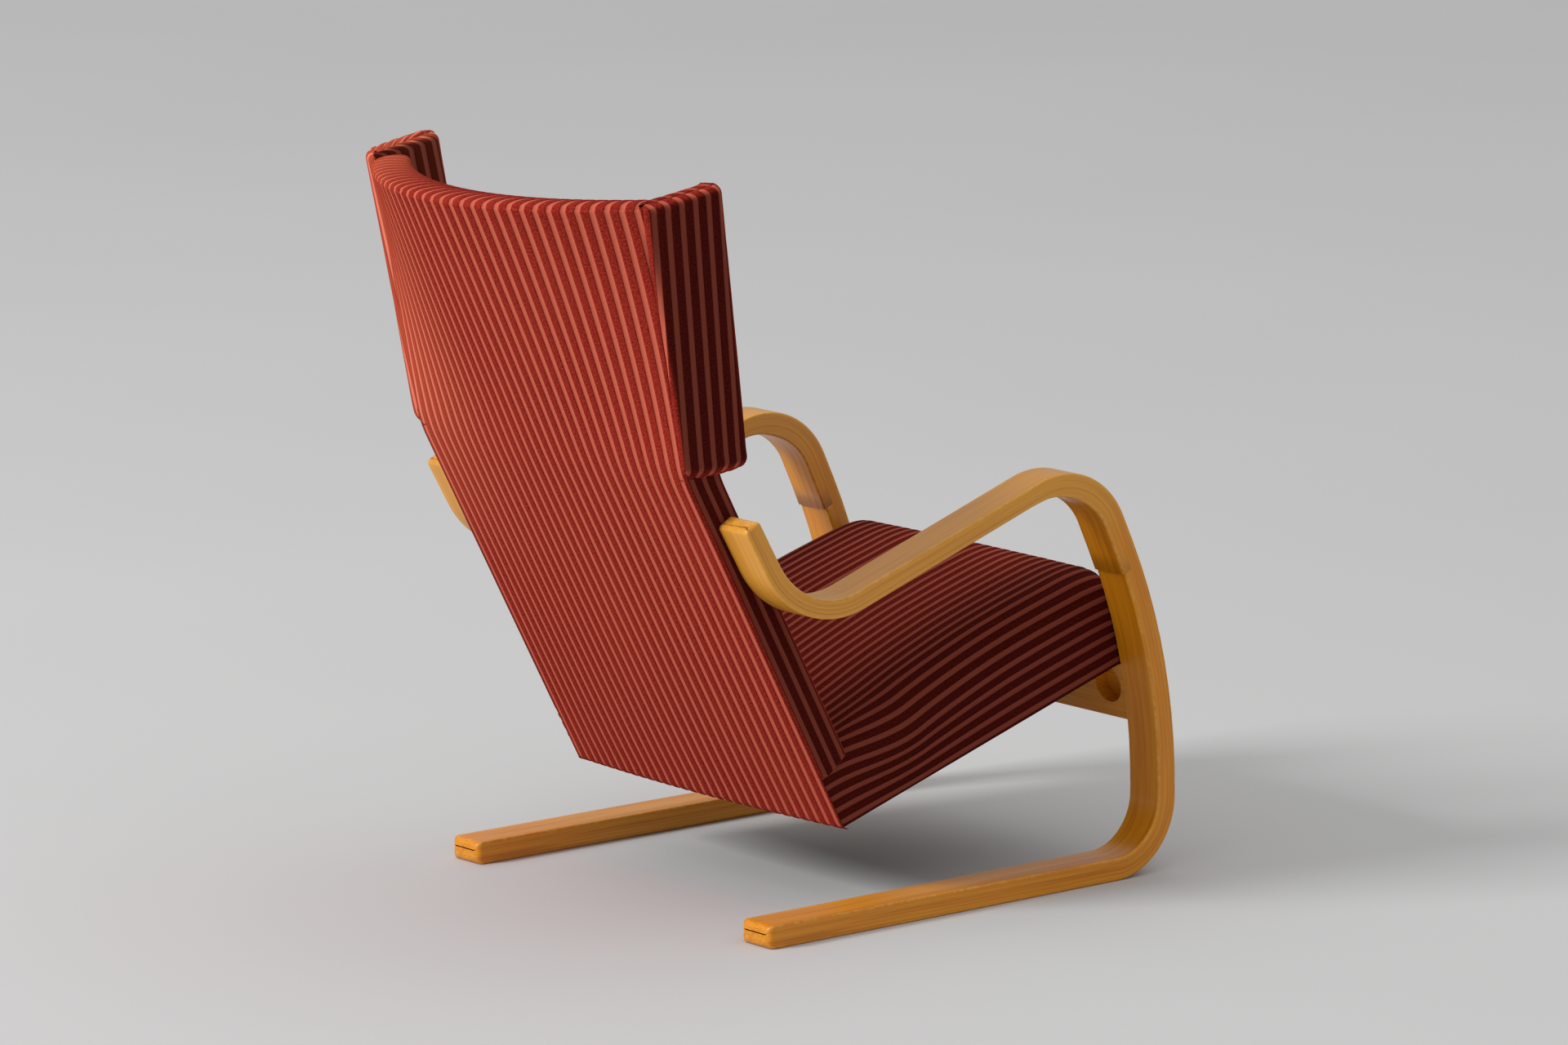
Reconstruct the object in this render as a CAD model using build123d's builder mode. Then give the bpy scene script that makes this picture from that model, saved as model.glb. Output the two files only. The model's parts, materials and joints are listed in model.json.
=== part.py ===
"""High back wing armchair on two bent laminated side frames, sizes in millimetres.

The sitter faces -Y, +Z is up, and the origin is on the floor under the middle of the chair.
"""

import os
from math import asin, atan2, cos, hypot, pi, radians, sin, sqrt, tan

from build123d import *

os.makedirs("parts", exist_ok=True)

# Overall sizes
overall_width = 610
overall_depth = 886
front = -overall_depth / 2
fit_gap = 0.4
touch_gap = 0.1

# Bent side frames: corners of the outer face, set back from the front of the legs
band_width = 52.5
band_thickness = 17
leg_lamination = 11.3
arm_lamination = 6.4
step_lip = 3
edge_round = 2.5
runner_length = 639
knee_height = 264
arm_set_back = 130
arm_height = 536
dip_set_back = 580.5
dip_height = 381.5
tail_set_back = 654
tail_height = 510
toe_radius = 94
knee_radius = 740
arm_radius = 109
dip_radius = 100
step_height = 388

# Upholstered body between the frames
side_gap = 1
fabric = 3
seat_slope = 17.65
seat_foot_set_back = 482.5
seat_foot_height = 112
seat_middle_along = 162
seat_crest_along = 335
seat_brow_along = 442
seat_nose_length = 50
seat_length = seat_brow_along + seat_nose_length
seat_rear_rise = 88
seat_middle_rise = 118
seat_crest_rise = 130
seat_brow_rise = 127
seat_nose_rise = 104
seat_rear_crown = 3
seat_middle_crown = 5
seat_crest_crown = 6
seat_nose_crown = 4
seat_edge_radius = 58
seat_tuck = 20

# Seat frame inside the cover
rail_thickness = 25
rail_height = 42
rail_lift = 2.4
corner_block_leg = 55
spring_count = 4
spring_wire = 4
spring_swing = 25
spring_bends = 8
spring_bend_radius = 24
spring_lead = 26
spring_rear_along = 17
clip_length = 16
clip_wall = 3
hessian = 2

# Back: rear face at three heights, with how far its middle stands behind its edges
wing_set_back = 723
wing_foot_height = 560
top_set_back = 783
back_top_height = 872
back_flat_bulge = 12
top_half_width_gain = 3.5
stile_width = 42
stile_depth = 36
back_rail_height = 46
upper_steps = 3
strap_width = 55
strap = 2.4
level_strap_count = 6
upright_strap_count = 3
back_fill = 6
back_crown = 16
roll_height = 7
roll_rear_inset = 5
roll_front_inset = 14

# Wings, which lean outwards
wing_thickness = 31
wing_foot_overhang = 11.5
wing_top_overhang = 28
wing_foot_depth = 90
wing_top_depth = 98
wing_rear_rise = 10
wing_front_rise = 29
wing_nose = 14
wing_board = 12
wing_board_inset = 13
wing_margin = 16

# Cross rail and fastenings
hexagon = 6
cross_rail_height = 66
cross_rail_thickness = 24
cross_rail_level = 218
pocket_radius = 23
pocket_depth = 19
pocket_from_end = 30
pocket_lift = 9
bolt_radius = 3
bolt_grip = 36
nut_length = 5
nut_radius = 5.8
washer_radius = 6.5
washer = 1.6
dowel_radius = 5
dowel_length = 60
dowel_drop = 21
screw_radius = 3
screw_head_radius = 4
screw_head = 3
screw_grip = 28
screw_spacing = 26
screw_below_tail = 22

# Values worked out from the sizes above
frame_inner = overall_width / 2 - band_width
body_half = frame_inner - side_gap
tilt = radians(seat_slope)
seat_foot = (front + seat_foot_set_back, seat_foot_height)
arm_depth = band_thickness + arm_lamination
leg_depth = band_thickness + leg_lamination
lip_depth = leg_depth + step_lip
wing_rear_height = back_top_height + wing_rear_rise
wing_front_height = back_top_height + wing_front_rise
frame_runs = 5
frame_sides = (("left", frame_inner), ("right", -overall_width / 2))
sides = (("left", 1), ("right", -1))


def finish(piece, name):
    """Label a piece and write it to its own file."""
    piece.part.label = name
    export_step(piece.part, f"parts/{name}.step")


def parallel(offsets):
    """Corners of the frame's outline moved inwards, each run by its own offset."""
    corners = [
        (front + runner_length, 0),
        (front, 0),
        (front, knee_height),
        (front + arm_set_back, arm_height),
        (front + dip_set_back, dip_height),
        (front + tail_set_back, tail_height),
    ]
    runs = []
    for (y0, z0), (y1, z1), offset in zip(corners, corners[1:], offsets):
        length = hypot(y1 - y0, z1 - z0)
        step = ((y1 - y0) / length, (z1 - z0) / length)
        runs.append(((y0 + step[1] * offset, z0 - step[0] * offset), step, length))
    moved = [runs[0][0]]
    for ((y0, z0), (a0, b0), _), ((y1, z1), (a1, b1), _) in zip(runs, runs[1:]):
        along = ((y1 - y0) * b1 - (z1 - z0) * a1) / (a0 * b1 - b0 * a1)
        moved.append((y0 + a0 * along, z0 + b0 * along))
    (y0, z0), (a0, b0), length = runs[-1]
    moved.append((y0 + a0 * length, z0 + b0 * length))
    return moved


def bend_radii(offsets):
    """Bend radii of the moved outline; the dip bends the other way from the rest."""
    mean = [(first + second) / 2 for first, second in zip(offsets, offsets[1:])]
    return [toe_radius - mean[0], knee_radius - mean[1], arm_radius - mean[2], dip_radius + mean[3]]


def strip_profile(inner_x, near, far):
    """Side outline of a bent strip that lies between two depths below the outer face."""
    with BuildSketch(Plane.YZ.offset(inner_x)) as profile:
        with BuildLine():
            outer = FilletPolyline(*parallel(near), radius=bend_radii(near))
            inner = FilletPolyline(*parallel(far), radius=bend_radii(far))
            Line(outer @ 0, inner @ 0)
            Line(outer @ 1, inner @ 1)
        make_face()
    return profile.sketch


def path_edges(part, depths):
    """Edges of a bent strip that lie on the outline at the given depths."""
    found = []
    for x in (part.bounding_box().min.X, part.bounding_box().max.X):
        with BuildLine(Plane.YZ.offset(x)) as line:
            FilletPolyline(*parallel(depths), radius=bend_radii(depths))
        wire = line.wires()[0]
        found += [edge for edge in part.edges() if wire.distance_to(edge @ 0.5) < touch_gap]
    return found


def leg_at(height):
    """Place on the leg's front face and its lean, on the knee's bend."""
    turn = atan2(arm_set_back, arm_height - knee_height)
    bend_start = knee_height - knee_radius * tan(turn / 2)
    rise = height - bend_start
    return front + knee_radius - sqrt(knee_radius**2 - rise**2), asin(rise / knee_radius)


def seat_plane(along, height=0):
    """Plane across the seat: X sideways, Y square to the seat, Z forwards."""
    y = seat_foot[0] - along * cos(tilt) + height * sin(tilt)
    z = seat_foot[1] + along * sin(tilt) + height * cos(tilt)
    return Plane(origin=(0, y, z), x_dir=(1, 0, 0), z_dir=(0, -cos(tilt), sin(tilt)))


def seat_deck(height):
    """Plane along the seat: X sideways, Y backwards, Z square to the seat."""
    y = seat_foot[0] + height * sin(tilt)
    z = seat_foot[1] + height * cos(tilt)
    return Plane(origin=(0, y, z), x_dir=(1, 0, 0), z_dir=(0, sin(tilt), cos(tilt)))


def seat_section(along, rise, crown, base, inset):
    """Cross section of the seat with a crowned top, flat sides and shoulders that round in above the rails."""
    half = body_half - inset
    top = rise - inset
    radius = min(seat_edge_radius, rise - rail_top - lining) - inset
    slant = radius * (1 - cos(pi / 4))
    with BuildSketch(seat_plane(along)) as section:
        with BuildLine():
            base_line = Line((-half, base), (half, base))
            right = Line(base_line @ 1, (half, top - radius))
            right_round = ThreePointArc(
                right @ 1, (half - slant, top - slant), (half - radius, top)
            )
            crown_arc = ThreePointArc(right_round @ 1, (0, top + crown), (radius - half, top))
            left_round = ThreePointArc(
                crown_arc @ 1, (slant - half, top - slant), (-half, top - radius)
            )
            Line(left_round @ 1, base_line @ 0)
        make_face()
    return section.sketch


def seat_form(start, end, base, inset):
    """Crowned seat from its rear end to its rounded nose."""
    sections = [
        seat_section(start, seat_rear_rise, seat_rear_crown, base, inset),
        seat_section(seat_middle_along, seat_middle_rise, seat_middle_crown, base, inset),
        seat_section(seat_crest_along, seat_crest_rise, seat_crest_crown, base, inset),
        seat_section(seat_brow_along, seat_brow_rise, seat_middle_crown, base, inset),
        seat_section(end, seat_nose_rise, seat_nose_crown, base, inset),
    ]
    with BuildPart() as form:
        loft(sections)
    return form.part


def between(height, low, high):
    """Share of the way from one height to another."""
    return (height - low) / (high - low)


def rear_edge(height):
    """Y of the back's rear face at its edges, and how far its middle stands behind them."""
    wing_y = front + wing_set_back
    if height <= wing_foot_height:
        share = between(height, seat_foot_height, wing_foot_height)
        return seat_foot[0] + share * (wing_y - seat_foot[0]), back_flat_bulge
    share = between(height, wing_foot_height, back_top_height)
    top_y = front + top_set_back
    gain = overall_depth - top_set_back - back_flat_bulge
    return wing_y + share * (top_y - wing_y), back_flat_bulge + min(1, share) * gain


def half_width(height):
    """Half width of the back, which widens behind the wings."""
    share = between(height, wing_foot_height, back_top_height)
    return body_half + top_half_width_gain * max(0, share)


def back_point(x, height, depth, crown):
    """Point of the back at a depth in front of its rear face, with the middle pushed forwards."""
    edge_y, bulge = rear_edge(height)
    bow = bulge - crown
    half = half_width(height)
    radius = (half**2 + bow**2) / (2 * bow)
    drop = radius - sqrt(radius**2 - x**2) if bow > 0 else radius + sqrt(radius**2 - x**2)
    return x, edge_y + bow - drop - depth


def back_section(height, span, near, far, near_crown, far_crown):
    """Level section of a layer of the back between two depths."""
    left, right = span(height)
    stations = (left, (left + right) / 2, right)
    with BuildSketch(Plane.XY.offset(height)) as section:
        with BuildLine():
            rear = ThreePointArc(*[back_point(x, height, near, near_crown) for x in stations])
            face = ThreePointArc(*[back_point(x, height, far, far_crown) for x in stations])
            Line(rear @ 0, face @ 0)
            Line(rear @ 1, face @ 1)
        make_face()
    return section.sketch


def back_slab(heights, span, near, far, near_crown=0, far_crown=0):
    """Layer of the back, straight between the heights and bowed across."""
    with BuildPart() as slab:
        loft([back_section(h, span, near, far, near_crown, far_crown) for h in heights], ruled=True)
    return slab.part


def across(inset):
    """Span over the back's whole width, less an inset at each edge."""
    return lambda height: (inset - half_width(height), half_width(height) - inset)


def strip_at(middle, width):
    """Span of an upright strip of one width."""
    return lambda height: (middle - width / 2, middle + width / 2)


def beside(side, outer, inner):
    """Span along one edge of the back, between two insets from that edge."""
    if side > 0:
        return lambda height: (half_width(height) - inner, half_width(height) - outer)
    return lambda height: (outer - half_width(height), inner - half_width(height))


def wing_outer(height):
    """X of the wing's outer face, which leans outwards."""
    share = between(height, wing_foot_height, back_top_height)
    overhang = wing_foot_overhang + share * (wing_top_overhang - wing_foot_overhang)
    return half_width(height) + overhang


def wing_depth(height):
    """Depth of the wing from the back's rear edge to its nose."""
    share = between(height, wing_foot_height, back_top_height)
    return wing_foot_depth + share * (wing_top_depth - wing_foot_depth)


def wing_section(side, height):
    """Level section of a wing with a rounded nose."""
    edge_y = rear_edge(height)[0]
    outer = wing_outer(height)
    inner = outer - wing_thickness
    nose_y = edge_y - wing_depth(height)
    shoulder = wing_depth(height) - wing_nose
    with BuildSketch(Plane.XY.offset(height)) as section:
        with BuildLine():
            rear = Line((side * inner, edge_y - frame_near), (side * outer, edge_y - frame_near))
            face = Line(rear @ 1, (side * outer, edge_y - shoulder))
            nose = ThreePointArc(
                face @ 1, (side * (inner + outer) / 2, nose_y), (side * inner, edge_y - shoulder)
            )
            Line(nose @ 1, rear @ 0)
        make_face()
    return section.sketch


def wing_board_section(side, height, grow):
    """Level section of the board inside a wing."""
    edge_y = rear_edge(height)[0]
    near = frame_far + touch_gap
    far = wing_depth(height) - wing_margin + grow
    outer = wing_outer(height) - wing_board_inset + grow
    inner = wing_outer(height) - wing_board_inset - wing_board - grow
    with BuildSketch(Plane.XY.offset(height)) as section:
        with BuildLine():
            Polyline(
                (side * outer, edge_y - near),
                (side * outer, edge_y - far),
                (side * inner, edge_y - far),
                (side * inner, edge_y - near),
                close=True,
            )
        make_face()
    return section.sketch


def between_wings(height):
    """Span between the inner faces of the wings."""
    reach = wing_outer(height) - wing_thickness - fit_gap
    return -reach, reach


def wing_board_form(side, grow):
    """Board inside a wing, grown for its pocket."""
    low = wing_foot_height + wing_margin - grow
    high = wing_rear_height - wing_margin + grow
    with BuildPart() as form:
        loft([wing_board_section(side, height, grow) for height in (low, high)], ruled=True)
    return form.part


# Depths of the back's layers in front of its rear face
lining = fabric + fit_gap
frame_near = lining
frame_far = frame_near + stile_depth
level_straps = frame_far + touch_gap
upright_straps = level_straps + strap + fit_gap
fill_near = upright_straps + strap + fit_gap
fill_far = fill_near + back_fill
cover_near = fill_far + fit_gap
cover_far = cover_near + fabric

# Heights above the underside of the seat, square to it
rail_top = rail_lift + rail_height
wire_level = rail_top + touch_gap + spring_wire / 2
hessian_base = wire_level + spring_wire / 2 + clip_wall + fit_gap
padding_base = hessian_base + hessian + fit_gap

# Shared cutting forms
rail_edge = body_half - lining
rail_front = seat_length - lining
stile_inset = lining + stile_width
low_z = seat_foot_height - rail_height
high_z = seat_foot_height + 2 * seat_rear_rise
behind = -2 * stile_depth
seat_tool = seat_form(-seat_tuck, seat_length, 0, -fit_gap)
rear_tool = back_slab((low_z, high_z), across(-fabric), behind, frame_near)
frame_tool = back_slab((low_z, high_z), across(fabric), behind, frame_far + touch_gap)
layer_tool = back_slab((low_z, high_z), across(fabric), behind, fill_near)
upper_rise = (back_top_height - wing_foot_height) / upper_steps
upper_heights = [wing_foot_height + step * upper_rise for step in range(upper_steps + 1)]

# Cross rail: plane of its middle, square to the leg where it meets it
rail_face, rail_lean = leg_at(cross_rail_level)
cross_plane = Plane(
    origin=(
        0,
        rail_face + cos(rail_lean) * leg_depth / 2,
        cross_rail_level - sin(rail_lean) * leg_depth / 2,
    ),
    x_dir=(1, 0, 0),
    z_dir=(0, -cos(rail_lean), sin(rail_lean)),
)


def bar_along_x(plane, x0, x1, level, radius):
    """Round bar along X at a level of a plane."""
    end = plane.from_local_coords((x0, level, 0))
    with BuildPart() as bar:
        with BuildSketch(Plane(origin=end, x_dir=(0, 1, 0), z_dir=(1, 0, 0))):
            Circle(radius)
        extrude(amount=x1 - x0)
    return bar.part


def rail_holes(clearance):
    """Bolts and dowels of both rail ends, each grown by a clearance."""
    bars = []
    for _, side in sides:
        bolt_ends = sorted((side * (frame_inner + bolt_grip), side * (frame_inner - pocket_from_end)))
        bars.append(bar_along_x(cross_plane, *bolt_ends, pocket_lift, bolt_radius + clearance))
        middle = side * frame_inner
        dowel_ends = (middle - dowel_length / 2, middle + dowel_length / 2)
        bars.append(bar_along_x(cross_plane, *dowel_ends, -dowel_drop, dowel_radius + clearance))
    return bars


def tail_screw_planes():
    """Planes across the tail of the frames, one for each screw level."""
    (dip_y, dip_z), (tail_y, tail_z) = parallel([arm_depth / 2] * frame_runs)[-2:]
    length = hypot(tail_y - dip_y, tail_z - dip_z)
    step = ((tail_y - dip_y) / length, (tail_z - dip_z) / length)
    places = (screw_below_tail, screw_below_tail + screw_spacing)
    return [Plane(origin=(0, tail_y - step[0] * s, tail_z - step[1] * s)) for s in places]


def screw_bars(clearance):
    """Shanks of the screws that hold the back's stiles to the tails of the frames."""
    bars = []
    for plane in tail_screw_planes():
        stile_face = half_width(plane.origin.Z) - stile_inset
        for _, side in sides:
            ends = sorted((side * stile_face, side * (frame_inner + screw_grip)))
            bars.append(bar_along_x(plane, *ends, 0, screw_radius + clearance))
    return bars


drilled_rail = rail_holes(touch_gap)
drilled_tail = screw_bars(touch_gap)

# Bent side frames, each glued up from an outer strip and two inner ones that meet at a step
step_y, step_lean = leg_at(step_height)
step_plane = Plane(
    origin=(0, step_y, step_height), x_dir=(1, 0, 0), z_dir=(0, sin(step_lean), cos(step_lean))
)
outer_face = [0] * frame_runs
seam = [band_thickness] * frame_runs
leg_face = [leg_depth] * frame_runs
arm_face = [lip_depth, lip_depth, lip_depth, arm_depth, arm_depth]

for name, inner_x in frame_sides:
    with BuildPart() as frame_band:
        extrude(strip_profile(inner_x, outer_face, seam), amount=band_width)
        fillet(path_edges(frame_band.part, outer_face), edge_round)
        add(drilled_rail, mode=Mode.SUBTRACT)
        add(drilled_tail, mode=Mode.SUBTRACT)
    finish(frame_band, f"{name}_frame_band")

    with BuildPart() as leg_strip:
        extrude(strip_profile(inner_x, seam, leg_face), amount=band_width)
        fillet(path_edges(leg_strip.part, leg_face), edge_round)
        split(bisect_by=step_plane, keep=Keep.BOTTOM)
        add(drilled_rail, mode=Mode.SUBTRACT)
    finish(leg_strip, f"{name}_leg_lamination")

    with BuildPart() as arm_strip:
        extrude(strip_profile(inner_x, seam, arm_face), amount=band_width)
        fillet(path_edges(arm_strip.part, arm_face), edge_round)
        split(bisect_by=step_plane, keep=Keep.TOP)
    finish(arm_strip, f"{name}_arm_lamination")

# Cross rail between the legs, trimmed to the slope of the seat, with a round pocket for each nut
with BuildPart() as cross_rail:
    with BuildSketch(cross_plane):
        with Locations((0, cross_rail_height / 2)):
            Rectangle(2 * frame_inner, 2 * cross_rail_height)
    extrude(amount=cross_rail_thickness / 2, both=True)
    split(bisect_by=seat_deck(-fit_gap), keep=Keep.BOTTOM)
    fillet(cross_rail.edges().filter_by(Axis.X).group_by(Axis.Z)[0], edge_round)
    with BuildSketch(cross_plane.offset(-cross_rail_thickness / 2)):
        for _, side in sides:
            with Locations((side * (frame_inner - pocket_from_end), pocket_lift)):
                Circle(pocket_radius)
    extrude(amount=pocket_depth, mode=Mode.SUBTRACT)
    add(drilled_rail, mode=Mode.SUBTRACT)
finish(cross_rail, "front_cross_rail")

nut_reach = sqrt(pocket_radius**2 - washer_radius**2) - touch_gap
with BuildPart() as rail_bolts:
    for _, side in sides:
        pocket_x = frame_inner - pocket_from_end
        tip = pocket_x + nut_reach - washer - nut_length - bolt_radius
        bolt_ends = sorted((side * (frame_inner + bolt_grip - fit_gap), side * tip))
        add(bar_along_x(cross_plane, *bolt_ends, pocket_lift, bolt_radius))
finish(rail_bolts, "rail_bolts")

with BuildPart() as rail_nuts:
    for _, side in sides:
        washer_x = frame_inner - pocket_from_end + nut_reach
        seat_at = cross_plane.from_local_coords((side * washer_x, pocket_lift, 0))
        with BuildSketch(Plane(origin=seat_at, x_dir=(0, 1, 0), z_dir=(-side, 0, 0))) as washers:
            Circle(washer_radius)
            Circle(bolt_radius + touch_gap, mode=Mode.SUBTRACT)
        extrude(amount=washer)
        with BuildSketch(washers.workplanes[0].offset(washer)):
            RegularPolygon(nut_radius, hexagon)
            Circle(bolt_radius + touch_gap, mode=Mode.SUBTRACT)
        extrude(amount=nut_length)
finish(rail_nuts, "rail_bolt_nuts")

with BuildPart() as rail_dowels:
    for _, side in sides:
        middle = side * frame_inner
        half = dowel_length / 2 - fit_gap
        add(bar_along_x(cross_plane, middle - half, middle + half, -dowel_drop, dowel_radius))
finish(rail_dowels, "rail_dowels")

with BuildPart() as tail_screws:
    for plane in tail_screw_planes():
        stile_face = half_width(plane.origin.Z) - stile_inset
        for _, side in sides:
            ends = sorted((side * stile_face, side * (frame_inner + screw_grip - fit_gap)))
            add(bar_along_x(plane, *ends, 0, screw_radius))
            head = sorted((side * stile_face, side * (stile_face - screw_head)))
            add(bar_along_x(plane, *head, 0, screw_head_radius))
finish(tail_screws, "tail_screws")

# Seat frame
for name, side in sides:
    with BuildPart() as side_rail:
        with BuildSketch(seat_plane(-seat_tuck)):
            with Locations((side * (rail_edge - rail_thickness / 2), rail_lift + rail_height / 2)):
                Rectangle(rail_thickness, rail_height)
        extrude(amount=rail_front - rail_thickness - touch_gap + seat_tuck)
        add(frame_tool, mode=Mode.SUBTRACT)
    finish(side_rail, f"seat_{name}_rail")

with BuildPart() as front_rail:
    with BuildSketch(seat_plane(rail_front - rail_thickness)):
        with Locations((0, rail_lift + rail_height / 2)):
            Rectangle(2 * rail_edge, rail_height)
    extrude(amount=rail_thickness)
finish(front_rail, "seat_front_rail")

with BuildPart() as rear_rail:
    add(back_slab((low_z, high_z), across(stile_inset + touch_gap), frame_near, frame_far))
    split(bisect_by=seat_deck(rail_lift), keep=Keep.TOP)
    split(bisect_by=seat_deck(rail_top), keep=Keep.BOTTOM)
finish(rear_rail, "seat_rear_rail")

block_x = rail_edge - rail_thickness - touch_gap
block_y = rail_front - rail_thickness - touch_gap
with BuildPart() as corner_blocks:
    with BuildSketch(seat_deck(rail_lift)):
        for _, side in sides:
            with BuildLine():
                Polyline(
                    (side * block_x, -block_y),
                    (side * (block_x - corner_block_leg), -block_y),
                    (side * block_x, corner_block_leg - block_y),
                    close=True,
                )
            make_face()
    extrude(amount=rail_height)
finish(corner_blocks, "seat_corner_blocks")

# Zigzag springs across the seat, held at both ends by clips on the rails
spring_end = rail_front - rail_thickness / 2
bend_pitch = (spring_end - spring_rear_along - 2 * spring_lead) / spring_bends
bend_round = min(spring_bend_radius, spring_swing - touch_gap, bend_pitch / 2 - touch_gap)
spring_spacing = 2 * block_x / spring_count
spring_places = [(i - (spring_count - 1) / 2) * spring_spacing for i in range(spring_count)]


def spring_path(middle):
    """Corners of a zigzag spring from the rear rail to the front rail."""
    rows = [-(spring_rear_along + spring_lead + i * bend_pitch) for i in range(spring_bends + 1)]
    corners = [(middle, -spring_rear_along), (middle, rows[0])]
    for i, row in enumerate(rows):
        swing = spring_swing if i % 2 == 0 else -spring_swing
        if i > 0:
            corners.append((middle - swing, row))
        if i < spring_bends:
            corners.append((middle + swing, row))
    return corners + [(middle, rows[-1]), (middle, -spring_end)]


with BuildPart() as springs:
    for middle in spring_places:
        corners = spring_path(middle)
        bends = [spring_wire] + [bend_round] * (len(corners) - 4) + [spring_wire]
        with BuildLine(seat_deck(wire_level)) as wire_line:
            FilletPolyline(*corners, radius=bends)
        with BuildSketch(Plane(origin=wire_line.line @ 0, z_dir=wire_line.line % 0)):
            RegularPolygon(spring_wire / 2, hexagon)
        sweep(path=wire_line.line)
finish(springs, "seat_springs")

clip_width = 3 * spring_wire
with BuildPart() as clips:
    for place in (spring_rear_along, spring_end):
        for middle in spring_places:
            with BuildSketch(seat_plane(place - clip_length / 2)):
                with Locations((middle, rail_top + touch_gap + (spring_wire + clip_wall) / 2)):
                    Rectangle(clip_width, spring_wire + clip_wall)
                with Locations((middle, rail_top + spring_wire / 2)):
                    Rectangle(
                        spring_wire + 2 * touch_gap, spring_wire + 4 * touch_gap, mode=Mode.SUBTRACT
                    )
            extrude(amount=clip_length)
finish(clips, "spring_clips")

stuffed_form = seat_form(-seat_tuck, rail_front, 0, lining)
with BuildPart() as seat_hessian:
    with BuildSketch(seat_plane(-seat_tuck)):
        with Locations((0, hessian_base + hessian / 2)):
            Rectangle(2 * rail_edge, hessian)
    extrude(amount=rail_front + seat_tuck)
    add(stuffed_form, mode=Mode.INTERSECT)
    add(layer_tool, mode=Mode.SUBTRACT)
finish(seat_hessian, "seat_hessian")

with BuildPart() as seat_padding:
    add(stuffed_form)
    split(bisect_by=seat_deck(padding_base), keep=Keep.TOP)
    add(layer_tool, mode=Mode.SUBTRACT)
finish(seat_padding, "seat_padding")

with BuildPart() as seat_cover:
    add(seat_form(-seat_tuck, seat_length, 0, 0))
    add(seat_form(-seat_tuck, seat_length - fabric, -fabric, fabric), mode=Mode.SUBTRACT)
    add(rear_tool, mode=Mode.SUBTRACT)
    add(layer_tool, mode=Mode.SUBTRACT)
finish(seat_cover, "seat_cover")

with BuildPart() as bottom_cloth:
    with BuildSketch(seat_plane(-seat_tuck)):
        with Locations((0, (rail_lift - touch_gap) / 2)):
            Rectangle(2 * rail_edge, rail_lift - touch_gap)
    extrude(amount=rail_front + seat_tuck)
    add(frame_tool, mode=Mode.SUBTRACT)
finish(bottom_cloth, "bottom_cloth")

# Frame of the back
trimmed_heights = upper_heights[:-1] + [back_top_height - fit_gap]
stile_heights = [low_z] + trimmed_heights
for name, side in sides:
    with BuildPart() as stile:
        add(back_slab(stile_heights, beside(side, lining, stile_inset), frame_near, frame_far))
        split(bisect_by=seat_deck(rail_lift), keep=Keep.TOP)
        add(drilled_tail, mode=Mode.SUBTRACT)
    finish(stile, f"back_{name}_stile")

top_rail_heights = (back_top_height - fit_gap - back_rail_height, back_top_height - fit_gap)
with BuildPart() as top_rail:
    add(back_slab(top_rail_heights, across(stile_inset + touch_gap), frame_near, frame_far))
finish(top_rail, "back_top_rail")

mid_rail_heights = (wing_foot_height - back_rail_height, wing_foot_height)
with BuildPart() as mid_rail:
    add(back_slab(mid_rail_heights, across(stile_inset + touch_gap), frame_near, frame_far))
finish(mid_rail, "back_middle_rail")

strap_low = seat_foot_height + seat_rear_rise + strap_width
strap_pitch = (back_top_height - strap_width - strap_low) / (level_strap_count - 1)
with BuildPart() as level_webbing:
    for i in range(level_strap_count):
        low = strap_low + i * strap_pitch - strap_width / 2
        levels = (low, low + strap_width)
        span = across(lining + stile_width / 2) if levels[1] < wing_foot_height else between_wings
        add(back_slab(levels, span, level_straps, level_straps + strap))
finish(level_webbing, "back_level_webbing")

upright_pitch = 2 * (body_half - stile_inset) / (upright_strap_count + 1)
upright_heights = [strap_low - strap_width] + trimmed_heights
with BuildPart() as upright_webbing:
    for i in range(upright_strap_count):
        place = strip_at((i - (upright_strap_count - 1) / 2) * upright_pitch, strap_width)
        add(back_slab(upright_heights, place, upright_straps, upright_straps + strap))
finish(upright_webbing, "back_upright_webbing")

# Padding and cover of the back, narrower between the wings
low_heights = (low_z, wing_foot_height)
with BuildPart() as back_padding:
    add(back_slab(low_heights, across(lining), fill_near, fill_far, 0, back_crown))
    add(back_slab(upper_heights, between_wings, fill_near, fill_far, 0, back_crown))
    add(seat_tool, mode=Mode.SUBTRACT)
    split(bisect_by=seat_deck(seat_rear_rise), keep=Keep.TOP)
finish(back_padding, "back_padding")

with BuildPart() as back_cover:
    add(back_slab(low_heights, across(lining), cover_near, cover_far, back_crown, back_crown))
    add(back_slab(upper_heights, between_wings, cover_near, cover_far, back_crown, back_crown))
    add(seat_tool, mode=Mode.SUBTRACT)
    split(bisect_by=seat_deck(seat_rear_rise), keep=Keep.TOP)
finish(back_cover, "inside_back_cover")

roll_base = back_top_height + fit_gap
with BuildPart() as top_roll:
    roll_depths = ((0, fit_gap, cover_far), (roll_height, roll_rear_inset, cover_far - roll_front_inset))
    sections = [
        back_section(roll_base + rise, between_wings, near, far, 0, back_crown)
        for rise, near, far in roll_depths
    ]
    loft(sections, ruled=True)
finish(top_roll, "back_top_roll")

panel_heights = [seat_foot_height] + upper_heights
with BuildPart() as outside_back:
    add(back_slab(panel_heights, across(0), 0, fabric))
finish(outside_back, "outside_back_panel")

for name, side in sides:
    with BuildPart() as border:
        add(back_slab(low_heights, beside(side, 0, fabric), frame_near, cover_far))
        add(seat_tool, mode=Mode.SUBTRACT)
        split(bisect_by=seat_deck(seat_rear_rise / 2), keep=Keep.TOP)
        add(drilled_tail, mode=Mode.SUBTRACT)
    finish(border, f"back_{name}_border")

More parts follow.
